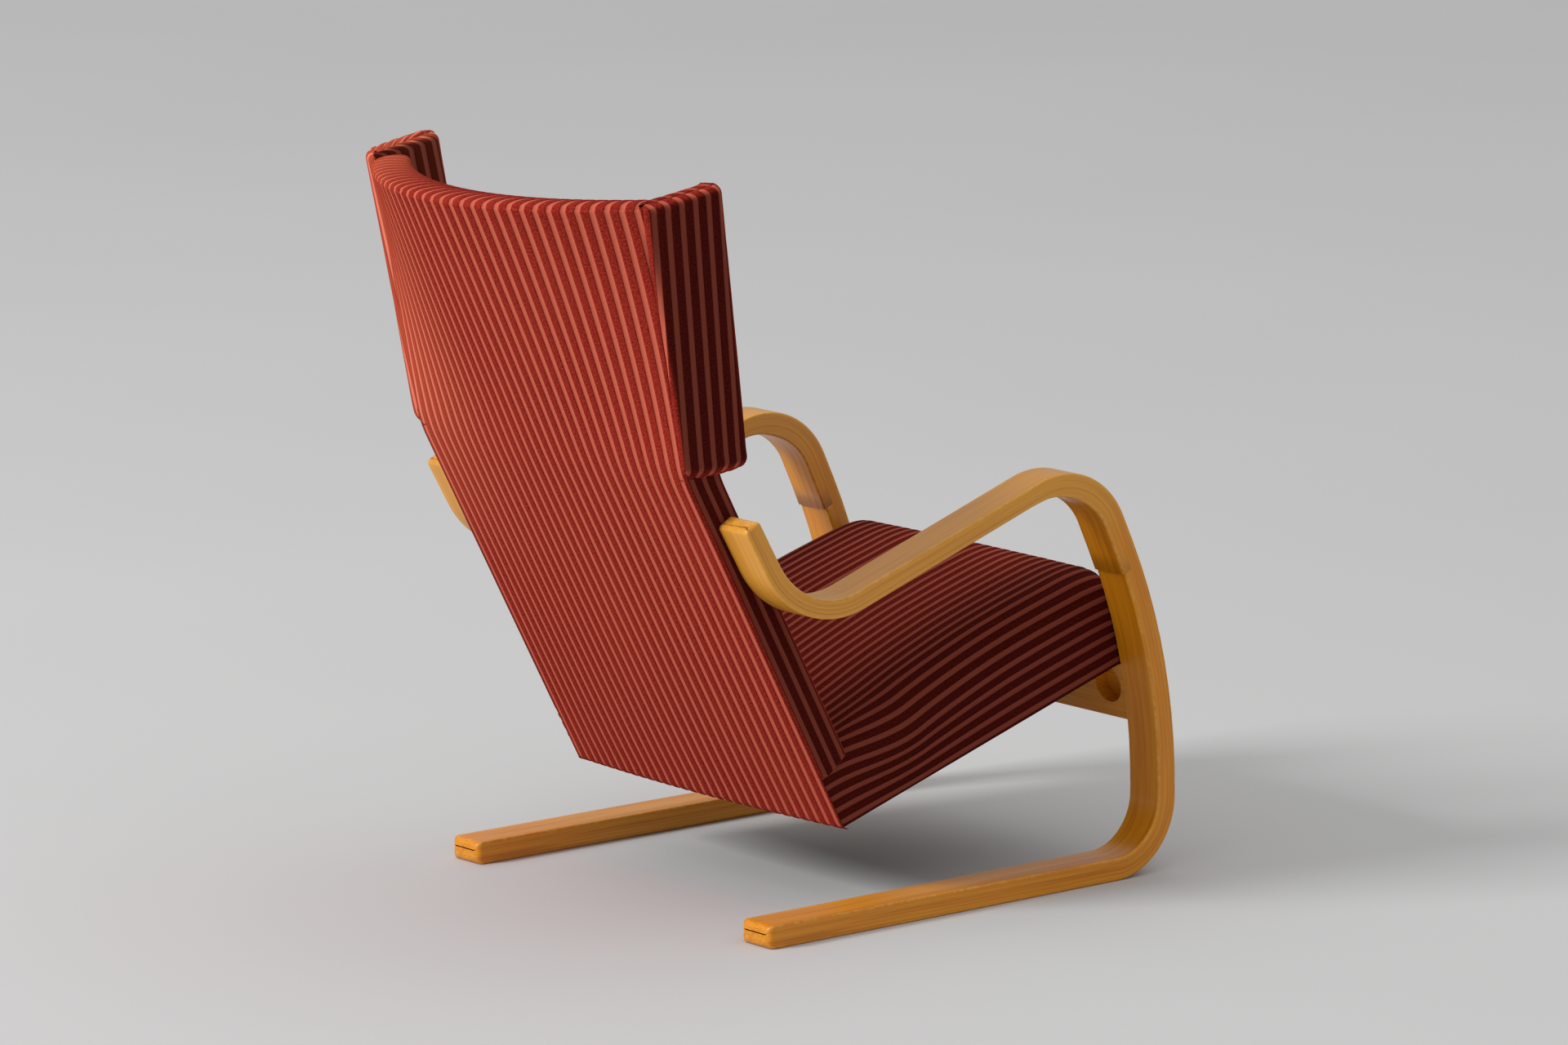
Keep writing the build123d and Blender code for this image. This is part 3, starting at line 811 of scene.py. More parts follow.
@dataclass
class SeatCushion:
    """Sprung seat whose stripes run over a broad shoulder from the top down each side.

    Painted shade darkens it all over, more at the sides than in the middle.
    """

    form: SeatForm
    stripes: Stripes
    rows: int = 130
    phase: float = 0.006
    foot_round: float = 0.0015
    hem: float = 0.016
    side_draw: float = 0.0006
    side_pitches: float = 4.25
    nose_margin: float = 0.002
    swell: float = 0.005
    # painted shade of the seat in the middle and at the sides, and where it changes between them
    nap: Pair = (0.60, 1.00)
    painted_shade_range: Pair = (0.25, 0.85)
    fill: float = 0.75

    def __post_init__(self) -> None:
        """Work out the middle line, its crest and nose, and the reach of top and sides."""
        self.line, self.length = self.form.curve(self.rows)
        crest = int(np.argmax(self.line[:, 1]))
        self.full = np.where(np.arange(self.rows) < crest, self.line[:, 1], self.line[crest, 1])
        self.nose = float(self.length[int(np.argmax(self.line[:, 0]))])
        self.reach = self.form.half - self.form.shoulder + self.form.shoulder * QUARTER_TURN
        self.drop = self.side_pitches * self.stripes.pitch

    def section(self, u: Array, v: Array, drop: Array) -> Array:
        """Points of the seat at a drop below its crest line.

        Args:
            u: X of the points.
            v: Lengths along the profile.
            drop: Drops below the top, square to the underside.

        Returns:
            Points.
        """
        along = np.interp(v, self.length, self.line[:, 0])
        height = np.interp(v, self.length, self.line[:, 1])
        height = height * (1.0 - drop / np.interp(v, self.length, self.full))
        front = self.line[:, 0].max() - curl(self.form.half - np.abs(u), self.form.front_round)
        along = np.clip(along, self.form.rear_lean * height + self.form.rear_gap, front)
        return self.form.points(u, along, height)

    def shoulder(self, v: Array) -> Array:
        """Radius of the shoulder by the length along the profile, smaller at the rear."""
        rear = self.form.rear_shoulder
        return rear + (self.form.shoulder - rear) * smooth_step(0.0, self.form.shoulder_run, v)

    def top(self, u: Array, v: Array) -> Array:
        """Points of the top, the front and the shoulders.

        Args:
            u: Distances across, over the shoulders.
            v: Lengths from the rear over the top and down the front.

        Returns:
            Points.
        """
        radius = self.shoulder(v)
        flat = self.form.half - radius
        across = np.abs(u) * (flat + radius * QUARTER_TURN) / self.reach
        turn = np.clip((across - flat) / radius, 0.0, QUARTER_TURN)
        x = np.sign(u) * (np.minimum(across, flat) + radius * np.sin(turn))
        swell = self.form.crown * (1.0 - np.minimum(across / flat, 1.0) ** 2)
        return self.section(x, v, radius * (1.0 - np.cos(turn)) - swell)

    def flank(self, side: Side, u: Array, v: Array) -> Array:
        """Points of one side, from the shoulder down and under the rail.

        Args:
            side: Side of the chair.
            u: Distances across, beyond the shoulder's foot.
            v: Lengths along the profile.

        Returns:
            Points.
        """
        down = np.clip((u - self.reach) / self.drop, 0.0, 1.0)
        under = np.maximum(u - self.reach - self.drop, 0.0)
        radius = self.shoulder(v)
        full = np.interp(v, self.length, self.full)
        fallen = radius + (full - radius) * down
        left = (full - fallen) * np.interp(v, self.length, self.line[:, 1]) / full
        draw = self.side_draw * np.sin(np.pi * down) ** 2
        x = self.form.half - draw - curl(left, self.foot_round) - under
        return self.section(side.value * x, v, fallen)

    def build(self, material: bpy.types.Material) -> bpy.types.Object:
        """Make the seat.

        Args:
            material: Its fabric.

        Returns:
            The finished piece.
        """
        span = (-self.reach, self.reach)
        top = Panel(self.top, self.stripes, self.phase, Stuffing(span, cap=self.swell))
        patches = [top.grid(span, self.length, 1.0)]
        rows = np.append(self.length[self.length < self.nose - self.nose_margin], self.nose)
        for side in Side:
            phase = self.phase if side is Side.LEFT else self.stripes.band - self.phase
            panel = Panel(partial(self.flank, side), self.stripes, phase)
            reach = (self.reach, self.reach + self.drop + self.hem)
            patches.append(panel.grid(reach, rows, float(side.value)))
        # painted shade over the whole seat, strongest at the sides, for the shade cast by the back and arms
        middle, edge = self.nap
        for patch in patches:
            aside = smooth_step(*self.painted_shade_range, np.abs(patch.points[:, :, 0]) / self.form.half)
            patch.nap = np.maximum(patch.nap, middle + (edge - middle) * aside)
        seat = FabricPiece("seat_cushion", ("seat_cover", "seat_padding"), self.fill)
        return seat.build(patches, material)


@dataclass(frozen=True)
class BottomCloth:
    """Thin black cloth tacked under the seat rails, sagging a little between them."""

    form: SeatForm
    half: float = 0.246
    span: Pair = (0.006, 0.462)
    sag: float = 0.004
    gap: float = 0.0006
    columns: int = 41
    rows: int = 39

    def build(self, material: bpy.types.Material) -> bpy.types.Object:
        """Make the cloth.

        Args:
            material: Its finish.

        Returns:
            The finished piece.
        """
        across = np.linspace(-self.half, self.half, self.columns)
        x, along = np.meshgrid(across, np.linspace(*self.span, self.rows))
        length = self.span[1] - self.span[0]
        hang = np.sin(np.pi * (along - self.span[0]) / length) * np.cos(QUARTER_TURN * x / self.half)
        points = self.form.points(x, along, -self.gap - self.sag * hang)
        mesh = new_mesh("under_seat_cloth", points, grid_quads(x.shape, flipped=True))
        piece = hand_over("under_seat_cloth", mesh, material, Slot.LINING, ["bottom_cloth"])
        return piece


# Wings

# Overhang of the rear edge at foot and top, and rise of the top, which differ as hand work does
WING_DIFFERENCES = {Side.LEFT: ((0.016, 0.028), 0.006), Side.RIGHT: ((0.004, 0.005), 0.0)}


@dataclass(frozen=True)
class Wing:
    """Padded wing beside the head, leaning outwards, with rounded edges all round."""

    form: BackForm
    stripes: Stripes
    side: Side
    rear_overhang: Pair
    top_rise: float
    phase: float = 0.0030
    stretch: float = 1.011
    slant: float = 0.039
    thickness: float = 0.031
    foot_overhang: float = 0.013
    top_overhang: float = 0.028
    least_overhang: float = 0.0005
    foot_depth: float = 0.090
    top_depth: float = 0.098
    depth_draw: float = 0.6
    seam_depth: float = 0.0008
    seam_draw: float = 0.5
    seam_tuck: float = 0.001
    inner_tuck: float = 0.003
    inner_end: float = -0.002
    rear_round: float = 0.020
    rear_share: float = 0.8
    nose_round: float = 0.011
    nose_share: float = 0.45
    bow: float = 0.005
    bow_round: float = 0.25
    round_steps: int = 10
    rear_top: float = 0.881
    front_top: float = 0.900
    rear_foot: float = 0.556
    front_foot: float = 0.567
    edge_round: float = 0.010
    foot_round: float = 0.013
    end_rows: tuple[float, ...] = (0.0, 0.05, 0.18, 0.4, 0.7, 1.0)
    end_margin: float = 0.016
    rows: int = 56
    cap_rows: int = 11
    cap_crown: float = 0.003
    rear_spare: float = 0.002
    stuffing: Stuffing = Stuffing(span=(-0.085, 0.100), cap=0.0025, columns=16)
    fill: float = 0.8

    @property
    def height(self) -> float:
        """Height of the rear edge."""
        return self.rear_top - self.rear_foot

    @property
    def reach(self) -> Pair:
        """First and last distance round the outline."""
        front = self.thickness + self.top_depth - self.inner_end + self.slant * self.height
        return -(self.top_overhang + self.rear_spare + self.top_depth), front

    def outline(self, z: float, inset: float) -> tuple[Array, Array]:
        """Level outline from the rear seam round the outer face and the nose to the inner face.

        Args:
            z: Height.
            inset: How far the outline is drawn in.

        Returns:
            Points (x, depth) and their distances from the nose's outer corner.
        """
        half, share = float(self.form.half(z)), float(self.form.upper_share(z))
        outer = half + self.foot_overhang + (self.top_overhang - self.foot_overhang) * share - inset
        foot, top = self.rear_overhang
        rear_outer = half + max(foot + (top - foot) * share - inset, self.least_overhang)
        inner = outer - self.thickness + 2.0 * inset
        depth = self.foot_depth + (self.top_depth - self.foot_depth) * share - self.depth_draw * inset
        rear = self.seam_depth + self.seam_draw * inset
        seam = half - self.seam_tuck
        middle = ((rear_outer + outer) / 2.0 + self.bow, (rear + depth) / 2.0)
        end = (min(inner, half - self.inner_tuck), self.inner_end)
        corners = np.array([(seam, rear), (rear_outer, rear), middle, (outer, depth), (inner, depth), end])
        nose = min(self.nose_round, (outer - inner) * self.nose_share)
        back = min(self.rear_round, (rear_outer - seam) * self.rear_share)
        line = rounded_path(corners, (back, self.bow_round, nose, nose), self.round_steps)
        return line, lengths_along(line) - lengths_along(corners[:4])[-1]

    def surface(self, u: Array, t: Array) -> Array:
        """Points of the faces.

        Args:
            u: Distances round the outline from the nose's outer corner.
            t: Distances up the wing.

        Returns:
            Points.
        """
        rows = []
        for across, rise in zip(u, t[:, 0]):
            inset = float(curl(rise, self.foot_round) + curl(self.height - rise, self.edge_round))
            level = self.rear_foot + rise
            line, place = self.outline(level, inset)
            x, depth = lookup(across + self.slant * (rise - self.height), place, line).T
            lift = depth / self.top_depth
            low = self.rear_foot + (self.front_foot - self.rear_foot) * lift
            high = self.rear_top + (self.front_top - self.rear_top) * lift + self.top_rise
            y = float(self.form.edge(level)) - depth
            z = low + (high - low) * rise / self.height
            rows.append(np.stack([self.side.value * x, y, z], axis=1))
        return np.array(rows)

    def cap(self, rim: Patch, row: int, flipped: bool) -> Patch:
        """Close one end across the thickness, carrying the outer face's stripes over.

        Args:
            rim: Patch of the faces.
            row: Row of the patch at that end.
            flipped: Whether the quads turn the other way.

        Returns:
            Patch that joins the outer and inner halves of the rim.
        """
        line, fabric = rim.points[row], rim.fabric[row]
        middle = (self.thickness / 2.0 - self.reach[0]) / self.stretch
        nose = int(np.argmin(np.abs(fabric[:, 0] - fabric[0, 0] - middle)))
        outer, rest = line[: nose + 1], line[nose:][::-1]
        inner = lookup(np.linspace(0.0, len(rest) - 1.0, nose + 1), np.arange(len(rest)), rest)
        share = np.linspace(0.0, 1.0, self.cap_rows)[:, None, None]
        crown = np.array([0.0, 0.0, self.cap_crown if row else -self.cap_crown])
        points = outer + (inner - outer) * share + crown * np.sin(np.pi * share)
        width = np.linalg.norm(inner - outer, axis=1) * share[:, :, 0]
        across = np.broadcast_to(fabric[: nose + 1, 0], width.shape)
        cloth = np.stack([across, fabric[: nose + 1, 1] + width], axis=2)
        return Patch(points, cloth, np.zeros_like(width), flipped)

    def build(self, material: bpy.types.Material) -> bpy.types.Object:
        """Make the wing.

        Args:
            material: Its fabric.

        Returns:
            The finished piece.
        """
        steps = np.array(self.end_rows)
        middle = np.linspace(self.end_margin, self.height - self.end_margin, self.rows)
        top = (self.height - self.edge_round * steps)[::-1]
        along = np.concatenate([self.foot_round * steps, middle, top])
        stripes = replace(self.stripes, stretch=self.stretch)
        panel = Panel(self.surface, stripes, self.phase, self.stuffing)
        faces = panel.grid(self.reach, along, -float(self.side.value))
        over = self.cap(faces, -1, self.side is Side.RIGHT)
        under = self.cap(faces, 0, self.side is Side.LEFT)
        label = self.side.label
        wing = FabricPiece(f"{label}_wing", (f"{label}_wing_pad",), self.fill)
        return wing.build([faces, over, under], material)


# Bent laminated frames


@dataclass(frozen=True)
class FrameSizes:
    """Driving sizes of the side frames.

    Places on the outline are distances behind the front and heights. Depths are measured inwards from the
    outline, and the inner face tapers from the lip's depth to the arm's about the arm's highest point.
    """

    half_width: float = 0.305
    front: float = -0.443
    band_width: float = 0.0525
    band_thickness: float = 0.017
    leg_depth: float = 0.0283
    lip_depth: float = 0.0313
    arm_depth: float = 0.0234
    taper: Pair = (0.05, 0.06)
    edge_round: float = 0.0027
    seam_round: float = 0.0004
    runner_length: float = 0.639
    knee_height: float = 0.264
    arm: Pair = (0.130, 0.536)
    dip: Pair = (0.5805, 0.3815)
    tail: Pair = (0.654, 0.510)
    radii: tuple[float, ...] = (0.094, 0.740, 0.109, 0.100)
    step_height: float = 0.388
    runner_end_round: float = 0.008
    tail_end_round: float = 0.006


@dataclass
class Outline:
    """Outer face of a side frame: straight runs joined by round bends, from runner to tail."""

    sizes: FrameSizes
    run_step: float = 0.012
    fewest_run_steps: int = 2
    bend_step: float = math.radians(2.5)
    fewest_bend_steps: int = 6

    def __post_init__(self) -> None:
        """Sample the points, the inward normals and the lengths from the runner's end."""
        sizes = self.sizes
        legs = [(sizes.runner_length, 0.0), (0.0, 0.0), (0.0, sizes.knee_height)]
        corners = np.array([*legs, sizes.arm, sizes.dip, sizes.tail]) + (sizes.front, 0.0)
        rows, start = [], corners[0]
        for before, corner, after, radius in zip(corners, corners[1:], corners[2:], sizes.radii):
            first, second = unit(corner - before), unit(after - corner)
            turn = math.atan2(first[0] * second[1] - first[1] * second[0], float(first @ second))
            cut = radius * math.tan(abs(turn) / 2.0)
            rows.append(self.run(start, corner - first * cut))
            rows.append(self.bend(corner - first * cut, first, turn, radius))
            start = corner + second * cut
        rows.append(self.run(start, corners[-1]))
        rows.append([(*corners[-1], *rows[-1][-1, 2:])])
        table = np.concatenate(rows)
        self.points = table[:, :2]
        self.inward = table[:, [3, 2]] * (1.0, -1.0)
        self.length = lengths_along(self.points)

    def run(self, start: Array, end: Array) -> Array:
        """Sample a straight run.

        Args:
            start: Its first point.
            end: Its last point, which is left out.

        Returns:
            Rows of a point and the direction there.
        """
        span = float(np.linalg.norm(end - start))
        count = max(self.fewest_run_steps, round(span / self.run_step))
        share = (np.arange(count) / count)[:, None]
        return np.hstack([start + (end - start) * share, np.tile((end - start) / span, (count, 1))])

    def bend(self, start: Array, step: Array, turn: float, radius: float) -> Array:
        """Sample a round bend.

        Args:
            start: Its first point.
            step: Direction there.
            turn: Angle that it turns through.
            radius: Its radius.

        Returns:
            Rows of a point and the direction there, without the last point.
        """
        count = max(self.fewest_bend_steps, round(abs(turn) / self.bend_step))
        angle = turn * np.arange(count) / count
        spin = np.array([[np.cos(angle), -np.sin(angle)], [np.sin(angle), np.cos(angle)]])
        spin = np.moveaxis(spin, 2, 0)
        centre = start + np.array([step[1], -step[0]]) * math.copysign(radius, -turn)
        return np.hstack([centre + spin @ (start - centre), spin @ step])

    def at(self, length: Array) -> tuple[Array, Array]:
        """Points and inward normals at lengths from the runner's end."""
        point, inward = (lookup(length, self.length, table) for table in (self.points, self.inward))
        return point, inward / np.linalg.norm(inward, axis=1, keepdims=True)

    def apex(self) -> float:
        """Length where the arm is highest."""
        return float(self.length[int(np.argmax(self.points[:, 1]))])

    def length_at_height(self, height: float) -> float:
        """Length where the leg reaches a height.

        Args:
            height: Height above the floor.

        Returns:
            Length from the runner's end.
        """
        toe = int(np.argmin(self.points[:, 0]))
        top = toe + int(np.argmax(self.points[toe:, 1]))
        return float(np.interp(height, self.points[toe:top, 1], self.length[toe:top]))


@dataclass(frozen=True)
class Strip:
    """One bent strip of a frame, swept along the outline with rounded edges and ends.

    Near is the depth of its outer face, and far that of its inner face before and behind the arm's highest
    point. Bare says which of the two faces shows: it has rounded, worn edges, and the ends' rounding draws
    it in. The other one is glued.
    """

    node: str
    span: Pair
    near: float
    far: Pair
    bare: tuple[bool, bool]
    ends: Pair
    support: float = 0.0008
    corner_points: int = 5
    end_points: int = 6
    end_margin: float = 1e-4

    def section(self, sizes: FrameSizes, far: float, draw: float) -> Array:
        """Closed section of the strip.

        Args:
            sizes: Sizes of the frame.
            far: Depth of its inner face there.
            draw: How far an end's rounding draws in the sides and the bare face.

        Returns:
            Rows of x, depth and wear.
        """
        half = sizes.band_width / 2.0 - draw
        turns = np.linspace(0.0, QUARTER_TURN, self.corner_points)
        corners = []
        for face, bare, inner in zip((self.near, far), self.bare, (1.0, -1.0)):
            radius = sizes.edge_round if bare else sizes.seam_round
            depth = face + inner * draw * bare
            reach = radius + self.support
            x = half - radius + radius * np.sin(turns)
            y = depth + inner * (radius - radius * np.cos(turns))
            arc = np.column_stack([x, y, np.full(len(turns), float(bare))])
            corners.append(np.vstack([(half - reach, depth, 0.0), arc, (half, depth + inner * reach, 0.0)]))
        right = np.vstack([corners[0], corners[1][::-1]])
        return np.vstack([right, right[::-1] * (-1.0, 1.0, 1.0)])

    def sweep(self, outline: Outline, side: Side, material: bpy.types.Material) -> bpy.types.Object:
        """Make the strip.

        Args:
            outline: Outer face of its frame.
            side: Side of the chair.
            material: Its wood.

        Returns:
            The finished piece.
        """
        sizes, (start, end) = outline.sizes, self.span
        margins = (start + self.ends[0] + self.end_margin, end - self.ends[1] - self.end_margin)
        inside = outline.length[(outline.length > margins[0]) & (outline.length < margins[1])]
        rounding = 1.0 - np.cos(np.linspace(0.0, QUARTER_TURN, self.end_points))
        first, last = np.unique(start + self.ends[0] * rounding), np.unique(end - self.ends[1] * rounding)
        lengths = np.concatenate([first, inside, last])
        draws = np.maximum(curl(lengths - start, self.ends[0]), curl(end - lengths, self.ends[1]))
        apex = outline.apex()
        taper = smooth_step(apex - sizes.taper[0], apex + sizes.taper[1], lengths)
        depths = self.far[0] + (self.far[1] - self.far[0]) * taper
        sections = np.array([self.section(sizes, *row) for row in zip(depths, draws)])
        point, inward = outline.at(lengths)
        x = side.value * (sizes.half_width - sizes.band_width / 2.0) + sections[:, :, 0]
        place = point[:, None] + inward[:, None] * sections[:, :, 1:2]
        grain = sections.copy()
        grain[:, :, 2] = lengths[:, None]
        rings, count = x.shape
        faces = grid_quads(x.shape, closed=True)
        faces += [list(range(count))[::-1], list(range((rings - 1) * count, rings * count))]
        name = f"{self.node}_wood"
        mesh = new_mesh(name, np.dstack([x, place]), faces)
        mesh.attributes.new(GRAIN, "FLOAT_VECTOR", "POINT").data.foreach_set("vector", grain.ravel())
        wear = mesh.attributes.new(WEAR, "FLOAT", "POINT")
        wear.data.foreach_set("value", sections[:, :, 2].ravel())
        work = bmesh.new()
        work.from_mesh(mesh)
        bmesh.ops.recalc_face_normals(work, faces=work.faces)
        work.to_mesh(mesh)
        work.free()
        piece = hand_over(name, mesh, material, Slot.BIRCH, [self.node])
        for end_face in mesh.polygons[-2:]:
            end_face.use_smooth = False
        return piece


@dataclass(frozen=True)
class SideFrame:
    """One bent frame, glued up from an outer strip and two inner ones."""

    sizes: FrameSizes
    side: Side

    def build(self, material: bpy.types.Material) -> list[bpy.types.Object]:
        """Make the three strips.

        Args:
            material: Their wood.

        Returns:
            The finished pieces.
        """
        sizes, label = self.sizes, self.side.label
        outline = Outline(sizes)
        end = float(outline.length[-1])
        step = outline.length_at_height(sizes.step_height)
        seam, leg, arm = sizes.band_thickness, sizes.leg_depth, (sizes.lip_depth, sizes.arm_depth)
        runner, tail = sizes.runner_end_round, sizes.tail_end_round
        outer, inner = (True, False), (False, True)
        strips = (
            Strip(f"{label}_frame_band", (0.0, end), 0.0, (seam, seam), outer, (runner, tail)),
            Strip(f"{label}_leg_lamination", (0.0, step), seam, (leg, leg), inner, (runner, 0.0)),
            Strip(f"{label}_arm_lamination", (step, end), seam, arm, inner, (0.0, tail)),
        )
        return [strip.sweep(outline, self.side, material) for strip in strips]


# Materials


@dataclass(frozen=True)
class NodeTree:
    """Short way to add and join the shader nodes of a material or a node group."""

    tree: bpy.types.NodeTree

    def feed(self, node: bpy.types.Node, inputs: dict) -> None:
        """Set inputs of a node.

        Args:
            node: The node.
            inputs: Values or output sockets by input name or number.
        """
        for key, value in inputs.items():
            if isinstance(value, bpy.types.NodeSocket):
                self.tree.links.new(value, node.inputs[key])
            else:
                node.inputs[key].default_value = value

    def add(self, kind: str, inputs: dict | None = None, **settings: object) -> bpy.types.Node:
        """Add a node.

        Args:
            kind: Node type without its ShaderNode prefix.
            inputs: Values or output sockets by input name or number.
            **settings: Properties of the node.

        Returns:
            The node.
        """
        node = self.tree.nodes.new(f"ShaderNode{kind}")
        for key, value in settings.items():
            setattr(node, key, value)
        self.feed(node, inputs or {})
        return node

    def math(self, operation: str, *values: object) -> bpy.types.NodeSocket:
        """Result of a Math node on numbers or sockets."""
        return self.add("Math", dict(enumerate(values)), operation=operation).outputs[0]

    def mix(self, share: object, first: object, second: object) -> bpy.types.NodeSocket:
        """Mix of two colours, by the second one's share."""
        return self.add("Mix", {0: share, 6: first, 7: second}, data_type="RGBA").outputs[2]

    def ease(self, value: object, low: float, high: float) -> bpy.types.NodeSocket:
        """Value eased from 0 at the low limit to 1 at the high one."""
        limits = {0: value, 1: low, 2: high}
        return self.add("MapRange", limits, interpolation_type="SMOOTHSTEP").outputs[0]

    def noise(self, place: object, scale: float, detail: float, rough: float) -> bpy.types.NodeSocket:
        """Noise at a place."""
        values = {"Vector": place, "Scale": scale, "Detail": detail, "Roughness": rough}
        return self.add("TexNoise", values).outputs["Fac"]

    def stretched(self, place: object, scale: Triple) -> bpy.types.NodeSocket:
        """Place scaled by each axis."""
        return self.add("VectorMath", {0: place, 1: scale}, operation="MULTIPLY").outputs[0]

    def bump(self, height: object, strength: float, distance: float) -> bpy.types.NodeSocket:
        """Normal of a bumpy surface."""
        return self.add("Bump", {"Height": height, "Strength": strength, "Distance": distance}).outputs[0]

    def attribute(self, name: str, output: str) -> bpy.types.NodeSocket:
        """Attribute of the mesh."""
        return self.add("Attribute", attribute_name=name).outputs[output]

    def object_place(self) -> bpy.types.NodeSocket:
        """Place in the object's own frame."""
        return self.add("TexCoord").outputs["Object"]


def new_group(
    name: str, inputs: dict[str, tuple], outputs: dict[str, str]
) -> tuple[NodeTree, bpy.types.Node, bpy.types.Node]:
    """Start a shader node group.

    Args:
        name: Name of the group.
        inputs: Socket type and default by name.
        outputs: Socket type by name.

    Returns:
        The group's tree, its input node and its output node.
    """
    group = bpy.data.node_groups.new(name, "ShaderNodeTree")
    for label, (kind, default) in inputs.items():
        socket = group.interface.new_socket(label, in_out="INPUT", socket_type=f"NodeSocket{kind}")
        socket.default_value = default
    for label, kind in outputs.items():
        group.interface.new_socket(label, in_out="OUTPUT", socket_type=f"NodeSocket{kind}")
    return NodeTree(group), group.nodes.new("NodeGroupInput"), group.nodes.new("NodeGroupOutput")


def new_material(name: str) -> tuple[bpy.types.Material, NodeTree, bpy.types.Node]:
    """Start a material.

    Args:
        name: Name of the material.

    Returns:
        The material, its tree and its Principled node.
    """
    material = bpy.data.materials.new(name)
    material.use_nodes = True
    return material, NodeTree(material.node_tree), material.node_tree.nodes["Principled BSDF"]


@dataclass(frozen=True)
class StripedFabric:
    """Nubby red bands between smooth salmon stripes, with painted sheen paling them towards the upper left.

    Noises are given by scale, detail and roughness, bumps by strength and distance. The painted shade darkens
    bands and stripes by its two shares.
    """

    stripes: Stripes
    band_colour: Colour = (0.190, 0.0095, 0.0060, 1.0)
    fleck_colour: Colour = (0.380, 0.036, 0.021, 1.0)
    stripe_colour: Colour = (0.60, 0.132, 0.080, 1.0)
    # colour of the painted shade in the crevices beside each raised band
    crevice_shade_colour: Colour = (0.060, 0.004, 0.003, 1.0)
    # band and stripe colours of the painted sheen towards the upper left
    painted_sheen_colour: Colour = (0.50, 0.085, 0.040, 1.0)
    pale_sheen_colour: Colour = (0.86, 0.24, 0.15, 1.0)
    # how far the painted shade darkens the bands and the stripes
    band_painted_shade: float = 0.78
    stripe_painted_shade: float = 0.64
    spare_pitches: float = 100.0
    soft_edge: Pair = (-0.0003, 0.0003)
    crevice_shade_range: Pair = (0.0001, 0.0007)
    crevice_shade_share: float = 0.3
    nub: Triple = (430.0, 3.0, 0.7)
    nub_range: Pair = (0.36, 0.68)
    nub_height: float = 0.75
    cloud: Triple = (5.0, 2.0, 0.5)
    cloud_range: Pair = (0.40, 0.75)
    cloud_share: float = 0.25
    fuzz: Triple = (1500.0, 1.0, 0.5)
    fuzz_height: float = 0.25
    pick_pitch: float = 0.0011
    pick_tone: Pair = (0.10, 0.12)
    pick_height: Pair = (0.10, 0.30)
    # where the painted sheen lies, and how strong it is
    sheen_x: Pair = (0.04, 0.27)
    sheen_z: Pair = (0.36, 0.66)
    sheen_share: float = 0.70
    bump: Pair = (0.8, 0.0011)
    roughness: float = 0.95
    specular: float = 0.05

    def group(self) -> bpy.types.NodeTree:
        """Node group of the weave.

        Returns:
            Group with colour and height outputs.
        """
        sockets = {"Nap": ("Float", 0.0), "Fade": ("Float", 0.0)}
        nodes, given, out = new_group("striped_weave", sockets, {"Colour": "Color", "Height": "Float"})
        nap, painted_sheen = given.outputs["Nap"], given.outputs["Fade"]
        pitch, band = self.stripes.pitch, self.stripes.band
        place = nodes.add("UVMap", uv_map=UV_NAME).outputs[0]
        across, along = nodes.add("SeparateXYZ", {0: place}).outputs[:2]
        across = nodes.math("MODULO", nodes.math("ADD", across, self.spare_pitches * pitch), pitch)
        edges = [nodes.math("SUBTRACT", across, band), nodes.math("SUBTRACT", pitch, across)]
        stripe = nodes.math("MULTIPLY", *[nodes.ease(edge, *self.soft_edge) for edge in edges])
        # painted shade: dark lines along each band's edges, where the raised band shades the sunk stripe
        nearest = nodes.math("MINIMUM", *[nodes.math("ABSOLUTE", edge) for edge in edges])
        crevice_shade = nodes.math("SUBTRACT", 1.0, nodes.ease(nearest, *self.crevice_shade_range))
        nub, cloud, fuzz = (nodes.noise(place, *noise) for noise in (self.nub, self.cloud, self.fuzz))
        picks = nodes.math("SINE", nodes.math("MULTIPLY", along, 2.0 * math.pi / self.pick_pitch))
        wool = nodes.mix(nodes.ease(nub, *self.nub_range), self.band_colour, self.fleck_colour)
        worn = nodes.math("MULTIPLY", nodes.ease(cloud, *self.cloud_range), self.cloud_share)
        wool = nodes.mix(painted_sheen, nodes.mix(worn, wool, self.fleck_colour), self.painted_sheen_colour)
        tone = nodes.math("MULTIPLY_ADD", picks, *self.pick_tone)
        thread = nodes.mix(painted_sheen, nodes.mix(tone, self.stripe_colour, self.fleck_colour), self.pale_sheen_colour)
        shaded = []
        # painted shade: bands and stripes darkened by the shade attribute
        for part, depth in ((wool, self.band_painted_shade), (thread, self.stripe_painted_shade)):
            value = nodes.math("MULTIPLY_ADD", nap, -depth, 1.0)
            shaded.append(nodes.add("HueSaturation", {"Value": value, "Color": part}).outputs[0])
        # mix in the painted crevice shade
        crevice_shade_mix = nodes.math("MULTIPLY", crevice_shade, self.crevice_shade_share)
        colour = nodes.mix(crevice_shade_mix, nodes.mix(stripe, *shaded), self.crevice_shade_colour)
        coarse = nodes.math("MULTIPLY", nub, self.nub_height)
        rough = nodes.math("ADD", coarse, nodes.math("MULTIPLY", fuzz, self.fuzz_height))
        smooth = nodes.math("MULTIPLY_ADD", picks, *self.pick_height)
        height = nodes.add("Mix", {0: stripe, 2: rough, 3: smooth}).outputs[0]
        nodes.feed(out, {"Colour": colour, "Height": height})
        return nodes.tree

    def material(self, name: str) -> bpy.types.Material:
        """Make the fabric.

        Args:
            name: Name of the material.

        Returns:
            The material.
        """
        material, nodes, shader = new_material(name)
        place = nodes.add("SeparateXYZ", {0: nodes.object_place()}).outputs
